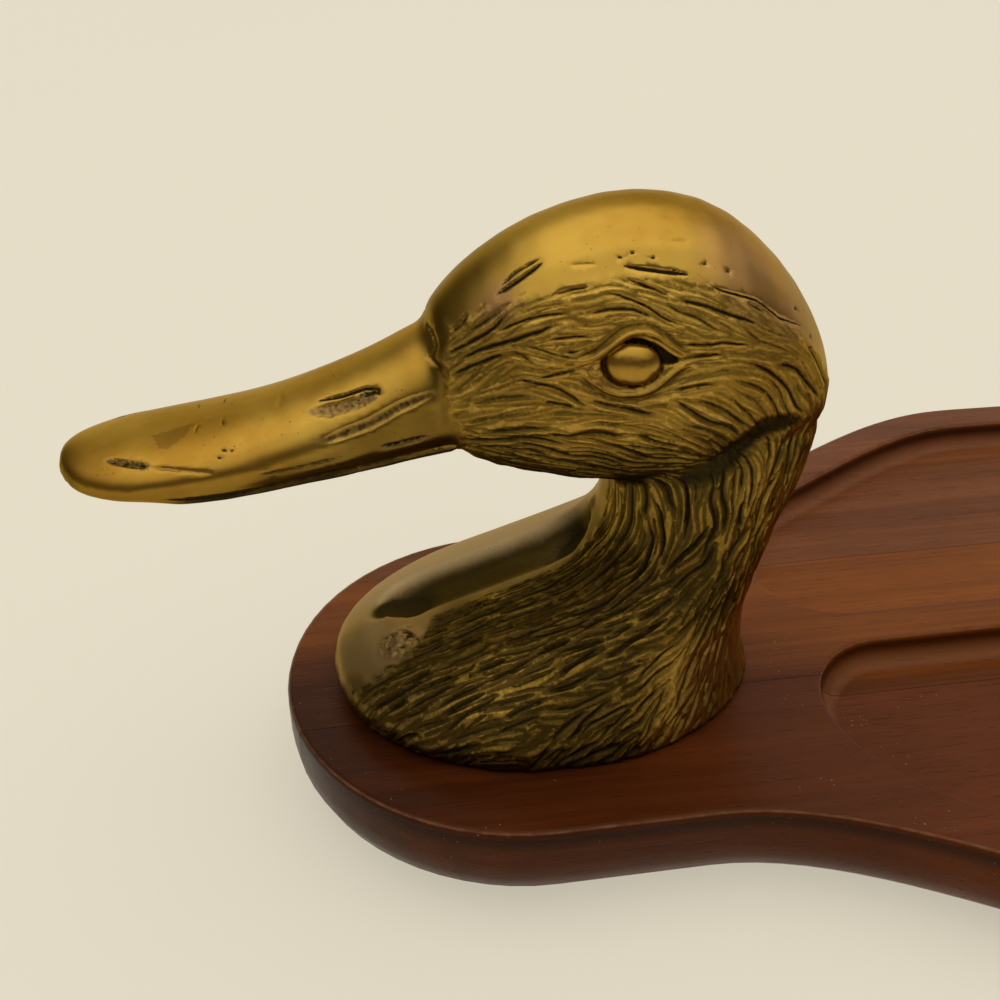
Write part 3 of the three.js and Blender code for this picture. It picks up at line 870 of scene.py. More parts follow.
def chase_feathers(places, normals, skin_tree, graver):
    """Evenly spaced cuts of one kind over the feathered skin, following its lie."""
    draw = random.Random(graver["seed"])
    cuts = Cuts(cell=1.25 * max(graver["spacing"]))
    seeds = [int(i) for i in np.flatnonzero(feathered(places, normals) > START_SHARE)]
    draw.shuffle(seeds)
    for seed in seeds:
        place = Vector(places[seed])
        spacing, length, depth, veer = (np.interp(place.z, CUT_HEIGHTS, graver[value])
                                        for value in ("spacing", "length", "depth", "veer"))
        spacing *= draw.uniform(*SPACING_RANGE)
        if not cuts.clear_of(place, spacing):
            continue
        length *= draw.uniform(*LENGTH_RANGE)
        veer *= draw.uniform(-1, 1)
        before = trace(place, skin_tree, cuts, spacing, length / 2, -1, veer)
        after = trace(place, skin_tree, cuts, spacing, length / 2, 1, veer)
        path = before[::-1] + [place] + after
        if len(path) * CUT_STEP < graver["shortest"]:
            continue
        half_width = graver["half_width"] * spacing * draw.uniform(*WIDTH_RANGE)
        cuts.add(path, half_width, depth * draw.uniform(*DEPTH_RANGE))
    return cuts


# Marks on the smooth brass, as (path of x, y, z on the near side, half width, depth, roughness, darkness).
# On the bill: nostril with its upper edge and rear end, long groove, rim, tip groove, scratches, and the
# fold at the root.
MARKS = [
    ([(-34.3, -6.9, 52), (-31.5, -7.5, 52.5), (-28.4, -7.7, 53.4), (-25.2, -7.9, 54.2)],
     1.6, 0.45, 0.9, 0.35),
    ([(-33.3, -5.5, 53), (-29.3, -6.3, 53.9), (-26.4, -6.5, 54.8), (-24, -7.6, 55)],
     0.45, 0.40, 0.5, 0.9),
    ([(-27.5, -7.2, 54.1), (-24.3, -7.8, 54.8)], 0.9, 0.40, 0.7, 0.8),
    ([(-33.5, -10.2, 48.8), (-26.1, -9.8, 50.9), (-22.2, -9.4, 52.8), (-16.9, -9.3, 54.7)],
     0.95, 0.45, 0.7, 0.6),
    ([(-25.5, -10.4, 47.4), (-22.3, -10.2, 47.6), (-18.1, -10.1, 48.4)], 0.5, 0.25, 1.0, 0.7),
    ([(-42.6, -11.3, 45.3), (-35.8, -10.9, 45.7), (-31.4, -10.7, 46.4), (-29.3, -10.6, 47)],
     0.26, 0.20, 0.3, 0.7),
    ([(-62.9, -6.5, 47), (-59.6, -8.2, 47), (-56.6, -9.3, 46.8)], 0.75, 0.50, 0.8, 0.7),
    ([(-57, -9.2, 46.8), (-52.5, -10.5, 46.6), (-47.8, -11.4, 46)], 0.4, 0.25, 0.4, 0.4),
    ([(-38.6, 4, 51.7), (-38.1, -3.5, 51.9)], 0.3, 0.07, 0.0, 0.55),
    ([(-46.8, -2.1, 50), (-46.4, -4.8, 49.7)], 0.25, 0.10, 0.0, 0.75),
    ([(-50.3, -2.6, 49.3), (-50.5, -4.8, 49)], 0.25, 0.10, 0.0, 0.7),
    ([(-17.6, -1.5, 62.2), (-16.7, -4.8, 61.7), (-16.4, -6.9, 60.6), (-17.2, -6.9, 58.8),
      (-15.6, -9.8, 57.6)], 0.45, 0.28, 0.2, 0.55),
    # On the crown: strokes of the graver that ran past the feathers.
    ([(8.3, -11.7, 71.9), (12.5, -12.5, 71.3), (17.1, -13, 70.5)], 0.42, 0.40, 0.5, 1.0),
    ([(19, -13.4, 69.6), (21.1, -13.8, 68.4), (26.5, -13.3, 66.4), (30, -13.3, 63.6), (34.1, -11.6, 61.2)],
     0.3, 0.30, 0.0, 0.9),
    ([(-7.6, -8.2, 69), (-5.4, -7.7, 70.6), (-2, -7.7, 72.3)], 0.3, 0.30, 0.2, 0.8),
    ([(-8.3, -8.7, 67.8), (-5.2, -8.9, 69.9), (-1.7, -8.4, 72)], 0.4, 0.40, 0.2, 0.9),
    ([(1.2, -9.9, 71.9), (3, -10.4, 72), (5.2, -10.9, 72.1)], 0.28, 0.12, 0.0, 0.4),
    ([(15.2, -9.5, 74.2), (17.9, -9.5, 73.9)], 0.22, 0.10, 0.0, 0.45),
]
PITS = [(-46.5, -8.9, 48.4), (-45.4, -9.2, 48.3), (-47.1, -9.8, 47.7), (8.1, -10.8, 72.9),
        (9.8, -10.5, 73.3), (12.5, -11.3, 72.7), (19.5, -11.6, 71.5), (22.7, -11.8, 70.3),
        (33.1, -10.5, 63.7), (35.3, -11.3, 59.8)]
PIT_HALF_LENGTH = 0.55
PIT_HALF_WIDTH = 0.3
PIT_DEPTH = 0.22
PIT_ROUGH = 0.6
PIT_DARK = 0.8
# Broad hollows, as (path, half width, depth, darkness, sides): the sunk breast, and the crease under the
# cheek. Their darkness is painted: shade in the crease, shade and dark reflection in the breast.
HOLLOWS = [
    ([(-26.2, 4.8, 9.8), (-19.8, 6.2, 11.9), (-11.5, 6.2, 14.5), (-3.3, 6.0, 17.4), (3.3, 5.4, 21),
      (7.8, 3.8, 26.3)], 7.6, 1.8, 0.68, (1,)),
    ([(17, -15, 40.5), (21.4, -16.4, 42.6), (27.8, -17.4, 48.8), (32.6, -16, 49.2)], 2.4, 0.5, 0.7, (1, -1)),
]
HOLLOW_TAPER = 0.14
# Where the breast's hollow is sunk deepest and painted darkest as shade, as (place, radius, depth, darkness):
# its front end and the foot of the throat.
DENTS = [((-23.2, 4.4, 10.7), 7.0, 0.5, 1.0), ((4.2, 3.0, 22.0), 6.2, 1.3, 0.95)]
# How sharply the cuts are hollowed, and how their rough floors are pitted.
LOCK_HOLLOWNESS = 1.4
BARB_HOLLOWNESS = 1.2
PITTING = 0.8
PITTING_SIZE = 0.45
# The feathers stand a little proud and swell unevenly, as (height, size).
FEATHER_LIFT = 0.15
BROAD_SWELL = (0.3, 5.5)
FINE_SWELL = (0.12, 1.8)
# How dark the patina lies in the barbs' cuts, and how dark the painted shade lies at the seat, under the
# cheek and on the mandible.
BARB_DARK = 0.62
SEAT_SHADOW = 0.95
CHEEK_SHADE = 0.8
MANDIBLE_SHADE = 0.85
# The mandible's fullness under the bill.
MANDIBLE_FULLNESS = 0.6
MANDIBLE_FROM = -60
BILL_ROOT = -13.5
BILL_EDGE = [(-57, -11.5, 42.6), (-53, -10.4, 42.1), (-42.2, -9.7, 42.3), (-36.6, -9.4, 43),
             (-29.5, -8.9, 43.6), (-22.3, -8.6, 44.7), (-14.9, -8.5, 46)]
BILL_EDGE_CUT = (0.4, 0.3, 0.0, 1.0)
# Below this line, (x, z), the flank of the bill is browned: tarnish, and painted shade on its lower half.
FLANK_LINE = [(-50, 45), (-46, 45.5), (-33.5, 48.3), (-16.9, 54.2)]
# A brown stain on top of the bill, (x, y), and the places and sizes of the reddest tarnish on the crown.
STAIN = [(-57.1, -2.7), (-55.1, -7.3), (-51.7, -5.0), (-50.6, -1.9)]
BLUSHES = [((27, -9, 69.5), 12), ((31, -11, 64), 7), ((-8, -9, 66.5), 5)]
# How far the feathers are rubbed down at the back of the foot, and between which lengths and heights.
FOOT_WEAR = 0.45
FOOT_WEAR_ALONG = (12, 20)
FOOT_WEAR_DOWN = (18, 10)
# How far the smooth brass and the front of the cheek have browned: 0 is bright and 1 is brown, and past 1 the
# ridges are brown too. The same brown paints shade on the bill's lower flank and side and in the hollows, and
# dark reflections at the bill's root and on the forehead. The back of the foot is painted lighter where the
# room's light falls on it, and the back of the neck is less browned.
TARNISH_AND_SHADE = {"bill_flank": 0.72, "bill_side": 0.35, "bill_tip": 0.7, "bill_root": 0.85, "forehead": 0.5,
           "stain": 0.35, "breast": 0.75, "front_low": 0.9, "front_cheek": 0.3, "hollows": 1.5}
FOOT_PAINTED_LIGHT = 1.4
NECK_BACK_BRIGHTER = 0.6
# How far the feathers have browned at each height, (z, share).
FEATHER_TARNISH = [(0, 1.4), (14, 1.4), (28, 1.1), (38, 0.94), (44, 0.72), (51, 0.32), (58, 0.10), (70, 0.08)]
# How far the brass has gone grey.
GREY = {"feathers": 0.35, "breast": 0.4, "breast_front": 0.4, "blush": 0.35, "behind_crown": 0.6}
# The mesh is made fine from this share of feathers on, and this far past whatever else is chased.
FINE_SHARE = 0.02
FINE_EYE = 1.4
FINE_MARGIN = 1.0
# It is thinned again where its edges are short, but not this near to the stain.
LONG_EDGE = 0.7 * SKIN_VOXEL
STAIN_MARGIN = 0.6


def seated(path, side, skin_tree):
    """A path's corners mirrored to a side, joined by short steps and laid on the skin."""
    corners = [Vector((x, y * side, z)) for x, y, z in path]
    fine = []
    for start, end in zip(corners, corners[1:]):
        steps = max(2, int((end - start).length / CUT_STEP))
        fine += [start.lerp(end, i / steps) for i in range(steps)]
    return [skin_tree.find_nearest(place)[0] for place in fine + corners[-1:]]


def surface_marks(skin_tree):
    """The marks and pits on the smooth brass, on both sides."""
    cuts = Cuts()
    for side in (1, -1):
        for path, half_width, depth, rough, dark in MARKS + [(BILL_EDGE, *BILL_EDGE_CUT)]:
            cuts.add(seated(path, side, skin_tree), half_width, depth, rough, dark)
        for x, y, z in PITS:
            nick = [(x - PIT_HALF_LENGTH, y, z), (x + PIT_HALF_LENGTH, y, z - 0.5 * PIT_HALF_LENGTH)]
            cuts.add(seated(nick, side, skin_tree), PIT_HALF_WIDTH, PIT_DEPTH, PIT_ROUGH, PIT_DARK)
    return cuts


def broad_hollows(skin_tree):
    cuts = Cuts()
    for path, half_width, depth, dark, sides in HOLLOWS:
        for side in sides:
            cuts.add(seated(path, side, skin_tree), half_width, depth, dark=dark, taper=HOLLOW_TAPER)
    return cuts


def under_bill(places, normals):
    """1 on the mandible, the lower half of the bill, which is painted in shade, and 0 elsewhere."""
    x, _, z = places.T
    on_bill = rise(x, BILL_ROOT, BILL_ROOT - 1.5) * rise(x, MANDIBLE_FROM, MANDIBLE_FROM + 10)
    below_edge = np.interp(x, [p[0] for p in BILL_EDGE], [p[2] for p in BILL_EDGE]) - z
    return on_bill * (z > JAW_BOTTOM) * (normals[:, 2] < 0.1) * rise(below_edge, 0, 0.5)


def carve(places, normals, locks, barbs, marks, hollows, feather_share):
    """Sinks every cut into the skin, and leaves the brass between neighbouring cuts as a rounded ridge."""
    lock_near, lock_depth, _, _ = locks.nearest(places)
    barb_near, barb_depth, _, _ = barbs.nearest(places)
    mark_near, mark_depth, mark_rough, mark_dark = marks.nearest(places)
    hollow_near, hollow_depth, _, hollow_dark = hollows.nearest(places)
    hollow_near = soft_step(1.6 * hollow_near)
    fine_grain = noise_at(places, PITTING_SIZE)
    pitting = 1 + PITTING * mark_rough * fine_grain
    knob = soft_step(1.4 * (1 - away_from(KNOB_PLACE, places) / KNOB_RADIUS))
    sink = lock_depth * lock_near ** LOCK_HOLLOWNESS * feather_share
    sink += barb_depth * barb_near ** BARB_HOLLOWNESS * (1 - 0.5 * lock_near) * feather_share
    sink += mark_depth * soft_step(1.6 * mark_near) * pitting
    knob_pits = knob * soft_step(3.5 * noise_at(places, KNOB_PIT_SIZE) + 0.2)
    sink += hollow_depth * hollow_near + KNOB_PIT_DEPTH * knob_pits
    # Painted shade, darkest where the breast's hollow is sunk deepest.
    dented = np.zeros(len(places))
    for place, radius, depth, dark in DENTS:
        dent = soft_step(2 * (1 - away_from(place, places) / radius)) * hollow_near
        sink += depth * dent
        dented = np.maximum(dented, dark * dent)
    swell = FEATHER_LIFT
    for height, size in (BROAD_SWELL, FINE_SWELL):
        swell = swell + height * noise_at(places, size)
    lift = feather_share * swell
    lift += KNOB_HEIGHT * knob + MANDIBLE_FULLNESS * under_bill(places, normals)
    in_locks = lock_near ** 1.5 * np.clip(lock_depth / 0.35, 0, 1)
    hollow = np.maximum(in_locks, BARB_DARK * barb_near ** 1.8) * feather_share
    in_pits = np.clip(mark_dark - mark_rough * 0.45 * fine_grain, 0, 1)
    hollow = np.maximum(hollow, soft_step(1.5 * mark_near) * in_pits * np.clip(mark_depth / 0.1, 0, 1))
    # Painted shade in the broad hollows, and patina in the knob's pits.
    hollow = np.maximum.reduce([hollow, hollow_dark * hollow_near, KNOB_PIT_DARK * knob_pits])
    # Painted shadow where the casting meets the tray.
    seat_line = rise(places[:, 2], 1.3, 0.3)
    # Painted shade under the cheek's overhang.
    under_cheek = rise(normals[:, 2], -0.5, -0.8) * (places[:, 2] > 36) * (places[:, 0] > 8)
    hollow = np.maximum.reduce([hollow, dented, SEAT_SHADOW * seat_line, CHEEK_SHADE * under_cheek])
    # Painted shade on the mandible.
    hollow = np.maximum(hollow, MANDIBLE_SHADE * under_bill(places, normals))
    rough = mark_rough * soft_step(2 * mark_near)
    return places + normals * (lift - sink)[:, None], hollow, rough, hollow_near * hollow_dark


def within(x, y, corners):
    """How far inside a convex patch each place lies, in millimetres; its corners run anticlockwise."""
    depths = []
    for (ax, ay), (bx, by) in zip(corners, corners[1:] + corners[:1]):
        length = math.hypot(bx - ax, by - ay)
        depths.append(((bx - ax) * (y - ay) - (by - ay) * (x - ax)) / length)
    return np.minimum.reduce(depths)


def tarnish_and_shade_on(places, normals, feather_share, hollow_near):
    """How far the brass has browned: most on neck and chest. The same brown paints shade on the mandible, the
    bill's lower side and in the hollows, and dark reflections at the bill's root and on the forehead.
    """
    x, y, z = places.T
    on_feathers = np.interp(z, *zip(*FEATHER_TARNISH))
    # Painted light: the back of the foot is browned less where the room's light falls on it.
    on_feathers -= FOOT_PAINTED_LIGHT * rise(x, 6, 16) * rise(z, 22, 12)
    on_feathers -= NECK_BACK_BRIGHTER * rise(x, 22, 30) * rise(z, 44, 38)
    on_feathers += TARNISH_AND_SHADE["front_cheek"] * rise(x, 0, -8) * rise(z, 44, 48)
    below_flank = np.interp(x, *zip(*FLANK_LINE)) - z
    # Painted shade on the bill's lower flank and down-turned side, with some tarnish.
    bill_flank = TARNISH_AND_SHADE["bill_flank"] * rise(below_flank, 0, 2) * rise(x, -50, -38)
    bill_side = TARNISH_AND_SHADE["bill_side"] * rise(normals[:, 2], 0.45, -0.15)
    bill_tip = TARNISH_AND_SHADE["bill_tip"] * rise(normals[:, 0], -0.5, -0.8)
    on_bill = np.maximum.reduce([bill_flank, bill_side, bill_tip]) * (x < BILL_ROOT)
    # Painted dark reflections at the bill's root and on the front of the forehead.
    bill_root = TARNISH_AND_SHADE["bill_root"] * np.exp(-((x + 15.8) / 1.7) ** 2) * (z > 50)
    forehead = TARNISH_AND_SHADE["forehead"] * rise(x, -1, -11) * (x > -16) * rise(z, 60, 64)
    in_stain = within(x, y, STAIN) + 0.5 * noise_at(places, 0.8)
    stain = TARNISH_AND_SHADE["stain"] * rise(in_stain, 0, 0.3) * (z > JAW_BOTTOM)
    breast = TARNISH_AND_SHADE["breast"] * rise(y, 5, 1) * (0.5 + 0.5 * rise(x, -20, -14))
    front_low = TARNISH_AND_SHADE["front_low"] * rise(z, 9, 5) * rise(y, -3, -9) * rise(x, -16, -22)
    on_head = np.maximum.reduce([on_bill, bill_root, forehead, stain])
    on_smooth = np.where(z < JAW_BOTTOM, np.maximum(breast, front_low), on_head)
    tarnish_and_shade = feather_share * on_feathers + (1 - feather_share) * on_smooth
    # Painted shade in the broad hollows and on the mandible.
    return np.maximum.reduce([tarnish_and_shade, TARNISH_AND_SHADE["hollows"] * hollow_near, under_bill(places, normals)])


def dull_on(places, feather_share, blush):
    """Where the brass has gone grey: on the breast, the feathers before it and the crown's back."""
    x, y, z = places.T
    in_front = GREY["feathers"] * rise(x, -12, -26)
    far_or_front = np.maximum(rise(y, 5, 9), GREY["breast_front"] * rise(x, -22, -28))
    on_breast = GREY["breast"] + (1 - GREY["breast"]) * far_or_front
    dull = (1 - feather_share) * on_breast + feather_share * in_front
    behind_crown = GREY["behind_crown"] * rise(x, 28, 35) * rise(z, 48, 56) * (1 - feather_share)
    return np.maximum.reduce([(z < JAW_BOTTOM) * dull, GREY["blush"] * blush, behind_crown])


def blush_on(places):
    """How red the tarnish is."""
    near_side = np.stack([places[:, 0], -np.abs(places[:, 1]), places[:, 2]], axis=1)
    blush = np.zeros(len(places))
    for centre, radius in BLUSHES:
        blush = np.maximum(blush, soft_step(1 - away_from(centre, near_side) / radius))
    return blush


def chased_mesh(mesh, marks):
    """A copy of the smooth skin with its mesh made fine wherever something is chased into it."""
    places, normals = mesh_places(mesh), head_normals(mesh)
    x, y, z = places.T
    fine = feathered(places, normals) > FINE_SHARE
    fine |= np.hypot((x - EYE_PLACE[0]) / LIDS[0], (z - EYE_PLACE[1]) / LIDS[1]) < FINE_EYE
    fine |= away_from(KNOB_PLACE, places) < KNOB_RADIUS + FINE_MARGIN
    fine |= (within(x, y, STAIN) > -FINE_MARGIN) & (z > JAW_BOTTOM) & (normals[:, 2] > 0)
    index, away = marks.closest(places)
    fine |= away < np.array(marks.half_widths)[index] + SKIN_VOXEL
    bm = bmesh.new()
    bm.from_mesh(mesh)
    bm.verts.ensure_lookup_table()
    edges = [e for e in bm.edges if fine[e.verts[0].index] and fine[e.verts[1].index]]
    bmesh.ops.subdivide_edges(bm, edges=edges, cuts=CHASED_CUTS, use_grid_fill=True)
    bmesh.ops.triangulate(bm, faces=[f for f in bm.faces if len(f.verts) > 4])
    finer = bpy.data.meshes.new("chased_head")
    bm.to_mesh(finer)
    bm.free()
    return finer


def finely_meshed(mesh):
    """The vertices that no long edge reaches, apart from the stain's, which keeps its sharp outline."""
    ends = np.empty(len(mesh.edges) * 2, dtype=np.int64)
    mesh.edges.foreach_get("vertices", ends)
    places = mesh_places(mesh)
    lengths = np.linalg.norm(places[ends[0::2]] - places[ends[1::2]], axis=1)
    coarse = np.zeros(len(places), dtype=bool)
    coarse[ends[np.repeat(lengths > LONG_EDGE, 2)]] = True
    x, y, z = places.T
    darkened = (within(x, y, STAIN) > -STAIN_MARGIN) & (z > JAW_BOTTOM)
    return [int(i) for i in np.flatnonzero(~coarse & ~darkened)]


skin_places, skin_normals = mesh_places(smooth_skin), head_normals(smooth_skin)
polygons = [tuple(p.vertices) for p in smooth_skin.polygons]
skin_tree = BVHTree.FromPolygons([Vector(p) for p in skin_places], polygons)
locks = chase_feathers(skin_places, skin_normals, skin_tree, LOCK_CUTS)
barbs = chase_feathers(skin_places, skin_normals, skin_tree, BARB_CUTS)
marks = surface_marks(skin_tree)
head_mesh = chased_mesh(smooth_skin, marks)
places, normals = mesh_places(head_mesh), head_normals(head_mesh)
worn_foot = rise(places[:, 0], *FOOT_WEAR_ALONG) * rise(places[:, 2], *FOOT_WEAR_DOWN)
feather_share = feathered(places, normals) * (1 - FOOT_WEAR * worn_foot)
hollows = broad_hollows(skin_tree)
places, hollow, rough, hollow_near = carve(places, normals, locks, barbs, marks, hollows, feather_share)
tarnish_and_shade = tarnish_and_shade_on(places, normals, feather_share, hollow_near)
polish = 1 - feather_share
sculpt_eyes(places, normals, hollow, polish, tarnish_and_shade)
places[:, 2] = np.maximum(places[:, 2], 0)
set_mesh_places(head_mesh, places)
blush = blush_on(places)
wear_and_shade = {"hollow": hollow, "polish": polish, "rough": rough, "tarnish_and_shade": tarnish_and_shade, "blush": blush,
        "dull": dull_on(places, feather_share, blush)}
for name, values in wear_and_shade.items():
    head_mesh.attributes.new(name, "FLOAT", "POINT").data.foreach_set("value", values.astype(np.float32))

# Aged brass: golden where it is rubbed, brown and reddish where it has tarnished, near black in the cuts.
# Painted shade and painted dark reflections use the same brown and near black, and painted glints brighten
# the ridges.
BRASS_GOLD = (0.50, 0.305, 0.050, 1)
BRASS_BROWN = (0.38, 0.195, 0.024, 1)
BRASS_RED = (0.49, 0.21, 0.070, 1)
BRASS_DARK = (0.085, 0.052, 0.010, 1)
BRASS_DULL = (0.52, 0.385, 0.205, 1)
BRASS_RUBBED_GLINT = (0.72, 0.47, 0.11, 1)
FLANK_OLIVE = (0.31, 0.195, 0.032, 1)
PATINA_AND_SHADE = (0.030, 0.022, 0.009, 1)
BRASS_EDGE = (0.86, 0.72, 0.46, 1)
RAW_CAST = (0.21, 0.145, 0.070, 1)
CLOUD_SCALE = 62
GRAIN_SCALE = 1500
GRAIN_SHARE = 0.35
BLUSH_SHARE = 0.8
DULL_SHARE = 0.9
SPECK_SCALE = 900
SPECK_RADIUS = 0.16
SPECK_PATCH_SCALE = 130
FEATHER_ROUGHNESS = 0.09
MATT_ROUGHNESS = 0.22
BRASS_GRAIN_HEIGHT = 0.00018


def brass_finish():
    brass = Finish("aged_brass", Metallic=1.0, Specular_Tint=BRASS_EDGE)
    hollow, polish, rough, tarnish_and_shade, blush, dull = (brass.attribute(name) for name in wear_and_shade)
    clouds = brass.noise(CLOUD_SCALE, detail=4, roughness=0.6)
    grain = brass.noise(GRAIN_SCALE, detail=4, roughness=0.7)
    feathers = brass.math("SUBTRACT", 1.0, polish)
    base = brass.mix(brass.ramp(clouds, (0.38, 0), (0.64, 0.9)), BRASS_GOLD, BRASS_BROWN)
    base = brass.mix(brass.times(blush, BLUSH_SHARE), base, BRASS_RED)
    base = brass.mix(brass.times(dull, DULL_SHARE), base, BRASS_DULL)
    hollow_with_grain = brass.math("ADD", hollow, brass.times(grain, GRAIN_SHARE))
    flank = brass.times(feathers, brass.ramp(hollow_with_grain, (0.20, 0), (0.50, 1)))
    flank = brass.times(flank, brass.ramp(tarnish_and_shade, (0.1, 0.45), (0.6, 1)))
    base = brass.mix(flank, base, FLANK_OLIVE)
    ridge_wear = brass.times(feathers, brass.ramp(hollow_with_grain, (0.16, 0.55), (0.34, 0)))
    rubbed = brass.times(feathers, brass.ramp(tarnish_and_shade, (0.1, 0.8), (0.75, 0.05)))
    # Painted highlight: bright glints on the rubbed ridge tops.
    glints = brass.times(rubbed, brass.ramp(hollow_with_grain, (0.12, 1), (0.25, 0)))
    patchy = brass.math("SUBTRACT", brass.ramp(clouds, (0.3, 0.8), (0.7, 1.1)), ridge_wear)
    browned_and_shaded = brass.times(tarnish_and_shade, patchy)
    base = brass.mix(browned_and_shaded, base, BRASS_DARK)
    base = brass.mix(glints, base, BRASS_RUBBED_GLINT)
    base = brass.mix(brass.times(rough, brass.ramp(grain, (0.4, 1), (0.6, 0.35))), base, RAW_CAST)
    chance = brass.ramp(brass.noise(SPECK_PATCH_SCALE, detail=2), (0.50, 0), (0.66, 0.8))
    specks = brass.times(brass.specks(SPECK_SCALE, SPECK_RADIUS), chance)
    base = brass.mix(brass.times(specks, polish), base, BRASS_DARK)
    # Near black: patina in the cuts, and painted shade in the broad hollows, the eye's opening, at the seat,
    # under the cheek and on the mandible.
    dark = brass.ramp(hollow_with_grain, (0.55, 0), (0.97, 1))
    brass.set("Base Color", brass.mix(dark, base, PATINA_AND_SHADE))
    polished = brass.ramp(clouds, (0.3, 0.29), (0.7, 0.35))
    sheen = brass.math("ADD", brass.times(feathers, FEATHER_ROUGHNESS), polished)
    matt = brass.times(brass.math("MAXIMUM", brass.math("MAXIMUM", dark, rough), dull), MATT_ROUGHNESS)
    brass.set("Roughness", brass.math("ADD", sheen, matt))
    brass.bump(brass.times(grain, brass.math("ADD", feathers, 0.02)), BRASS_GRAIN_HEIGHT, 0.5)
    return brass.material


head_mesh.shade_smooth()
skin.data = head_mesh
chased = skin.vertex_groups.new(name="chased")
chased.add(finely_meshed(head_mesh), 1.0, "REPLACE")
thin = skin.modifiers.new("thinned where it is chased", "DECIMATE")
thin.vertex_group = "chased"
head_mesh.calc_loop_triangles()
thin.ratio = min(1.0, TRIANGLE_LIMIT / len(head_mesh.loop_triangles))
duck_head_mesh = evaluated_mesh(skin)
skin.modifiers.clear()
skin.vertex_groups.clear()
skin.data = duck_head_mesh
duck_head_mesh.materials.clear()
duck_head_mesh.materials.append(brass_finish())
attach(skin, "root")
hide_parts(HEAD)


# Studio: a sheet of cream paper under the tray, lit by one large soft lamp overhead.
# The room is dim behind the camera and to the left, so the brass has something dark to mirror.
PAPER = (0.82, 0.79, 0.67, 1)
PAPER_GLOW = (0.93, 0.86, 0.69, 1)
GLOW_SHARE = 0.55
PAPER_HALF_SIZE = 3.0
PAPER_CLOUD_SCALE = 3
LAMP_LENGTH = 1.4
LAMP_WIDTH = 1.2
LAMP_ENERGY = 2.0
LAMP_COLOUR = (1.0, 0.95, 0.86)
LAMP_PLACE = (0.0, 0.3, 1.4)
ROOM_DARK = (0.11, 0.095, 0.075, 1)
ROOM_PALE = (1.0, 0.95, 0.85, 1)
# The room is pale overhead and, less so, behind the object to the right: between which headings it turns.
OVERHEAD_TURN = (0.42, 0.82)
BEHIND_TURN = (0.0, 0.5)
BEHIND_SHARE = 0.66
RIGHT_TURN = (-0.62, -0.30)
LOW_TURN = (0.46, 0.18)
HIGH_SHARE = 0.6
# A dark flag hangs in that light.
FLAG_HEADING = (-0.72, 0.56, 0.41)
FLAG_TURN = (0.87, 0.97)
FLAG_SHARE = 0.75


def paper_finish():
    paper = Finish("cream_paper", Roughness=0.9)
    tone = paper.ramp(paper.noise(PAPER_CLOUD_SCALE, detail=2), (0.3, 0.97), (0.7, 1.0))
    paper.set("Base Color", paper.mix(1.0, PAPER, tone, blend="MULTIPLY"))
    glow = paper.new("Emission", Color=PAPER_GLOW)
    rays = paper.new("LightPath")
    seen = paper.math("MAXIMUM", rays.outputs["Is Camera Ray"], rays.outputs["Is Glossy Ray"])
    seen = paper.math("MAXIMUM", seen, rays.outputs["Is Transmission Ray"])
    blend = paper.new("MixShader", Fac=paper.times(seen, GLOW_SHARE))
    paper.links.new(paper.shader.outputs["BSDF"], blend.inputs[1])
    paper.links.new(glow.outputs["Emission"], blend.inputs[2])
    paper.links.new(blend.outputs["Shader"], paper.nodes["Material Output"].inputs["Surface"])
    return paper.material


paper_bm = bmesh.new()
bmesh.ops.create_grid(paper_bm, x_segments=1, y_segments=1, size=PAPER_HALF_SIZE)
paper_sheet = finished_piece(paper_bm, "paper_sheet", paper_finish())

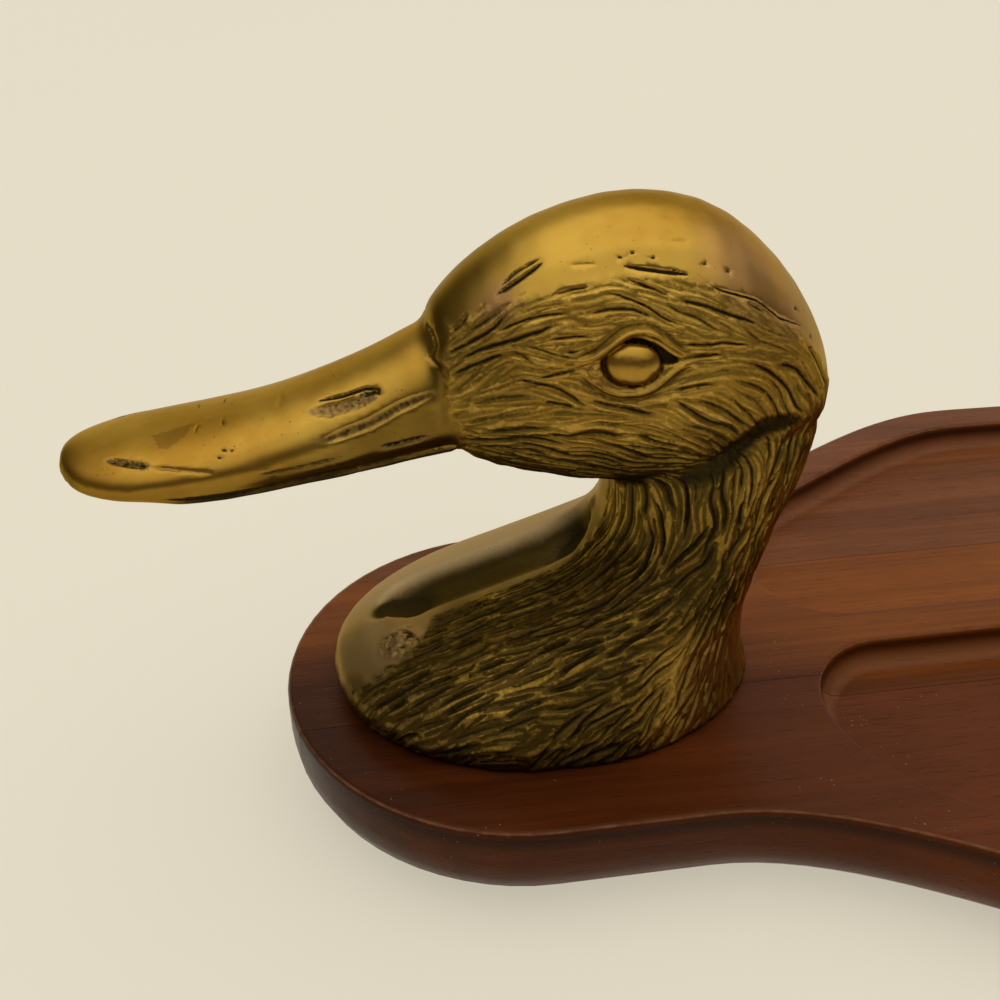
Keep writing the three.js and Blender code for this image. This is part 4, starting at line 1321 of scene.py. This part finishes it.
lamp_data = bpy.data.lights.new("overhead_softbox", "AREA")
lamp_data.shape = "RECTANGLE"
lamp_data.size = LAMP_LENGTH
lamp_data.size_y = LAMP_WIDTH
lamp_data.energy = LAMP_ENERGY
lamp_data.color = LAMP_COLOUR
lamp = bpy.data.objects.new("overhead_softbox", lamp_data)
lamp.location = LAMP_PLACE
bpy.context.scene.collection.objects.link(lamp)

world = bpy.data.worlds.new("room")
bpy.context.scene.world = world
world.use_nodes = True
room = ShaderNodes(world.node_tree, "Generated")
towards_flag = room.new("VectorMath")
towards_flag.operation = "DOT_PRODUCT"
room.feed(towards_flag.inputs[0], room.place)
room.feed(towards_flag.inputs[1], FLAG_HEADING)
flag = room.share_of(towards_flag.outputs["Value"], *FLAG_TURN, smooth=True)
unflagged = room.math("ADD", room.times(flag, -FLAG_SHARE), 1.0)
overhead = room.share_of(room.part_of("Z"), *OVERHEAD_TURN, smooth=True)
behind = room.times(room.share_of(room.part_of("Y"), *BEHIND_TURN, smooth=True), BEHIND_SHARE)
low_down = room.times(room.share_of(room.part_of("Z"), *LOW_TURN, smooth=True), 1 - HIGH_SHARE)
behind = room.times(behind, room.math("ADD", low_down, HIGH_SHARE))
behind_right = room.times(behind, room.share_of(room.part_of("X"), *RIGHT_TURN, smooth=True))
pale_share = room.times(room.math("MAXIMUM", overhead, behind_right), unflagged)
room.feed(room.nodes["Background"].inputs["Color"], room.mix(pale_share, ROOM_DARK, ROOM_PALE))


# Camera: where the photograph was taken from, close to the near side and a little above the head.
CAMERA_PLACE = (-0.10315, -0.1681, 0.1472)
CAMERA_PITCH = 0.52763
CAMERA_YAW = 0.13391
CAMERA_ROLL = -0.02153
CAMERA_LENS = 45.914
CAMERA_SENSOR = 36.0
NEAREST_SEEN = 0.01
camera_data = bpy.data.cameras.new("camera")
camera_data.lens = CAMERA_LENS
camera_data.sensor_width = CAMERA_SENSOR
camera_data.clip_start = NEAREST_SEEN
camera = bpy.data.objects.new("camera", camera_data)
aim = Euler((math.pi / 2 - CAMERA_PITCH, 0, -CAMERA_YAW)).to_matrix() @ Matrix.Rotation(CAMERA_ROLL, 3, "Z")
camera.matrix_world = Matrix.Translation(CAMERA_PLACE) @ aim.to_4x4()
bpy.context.scene.collection.objects.link(camera)
bpy.context.scene.camera = camera
bpy.context.scene.view_settings.view_transform = "Standard"
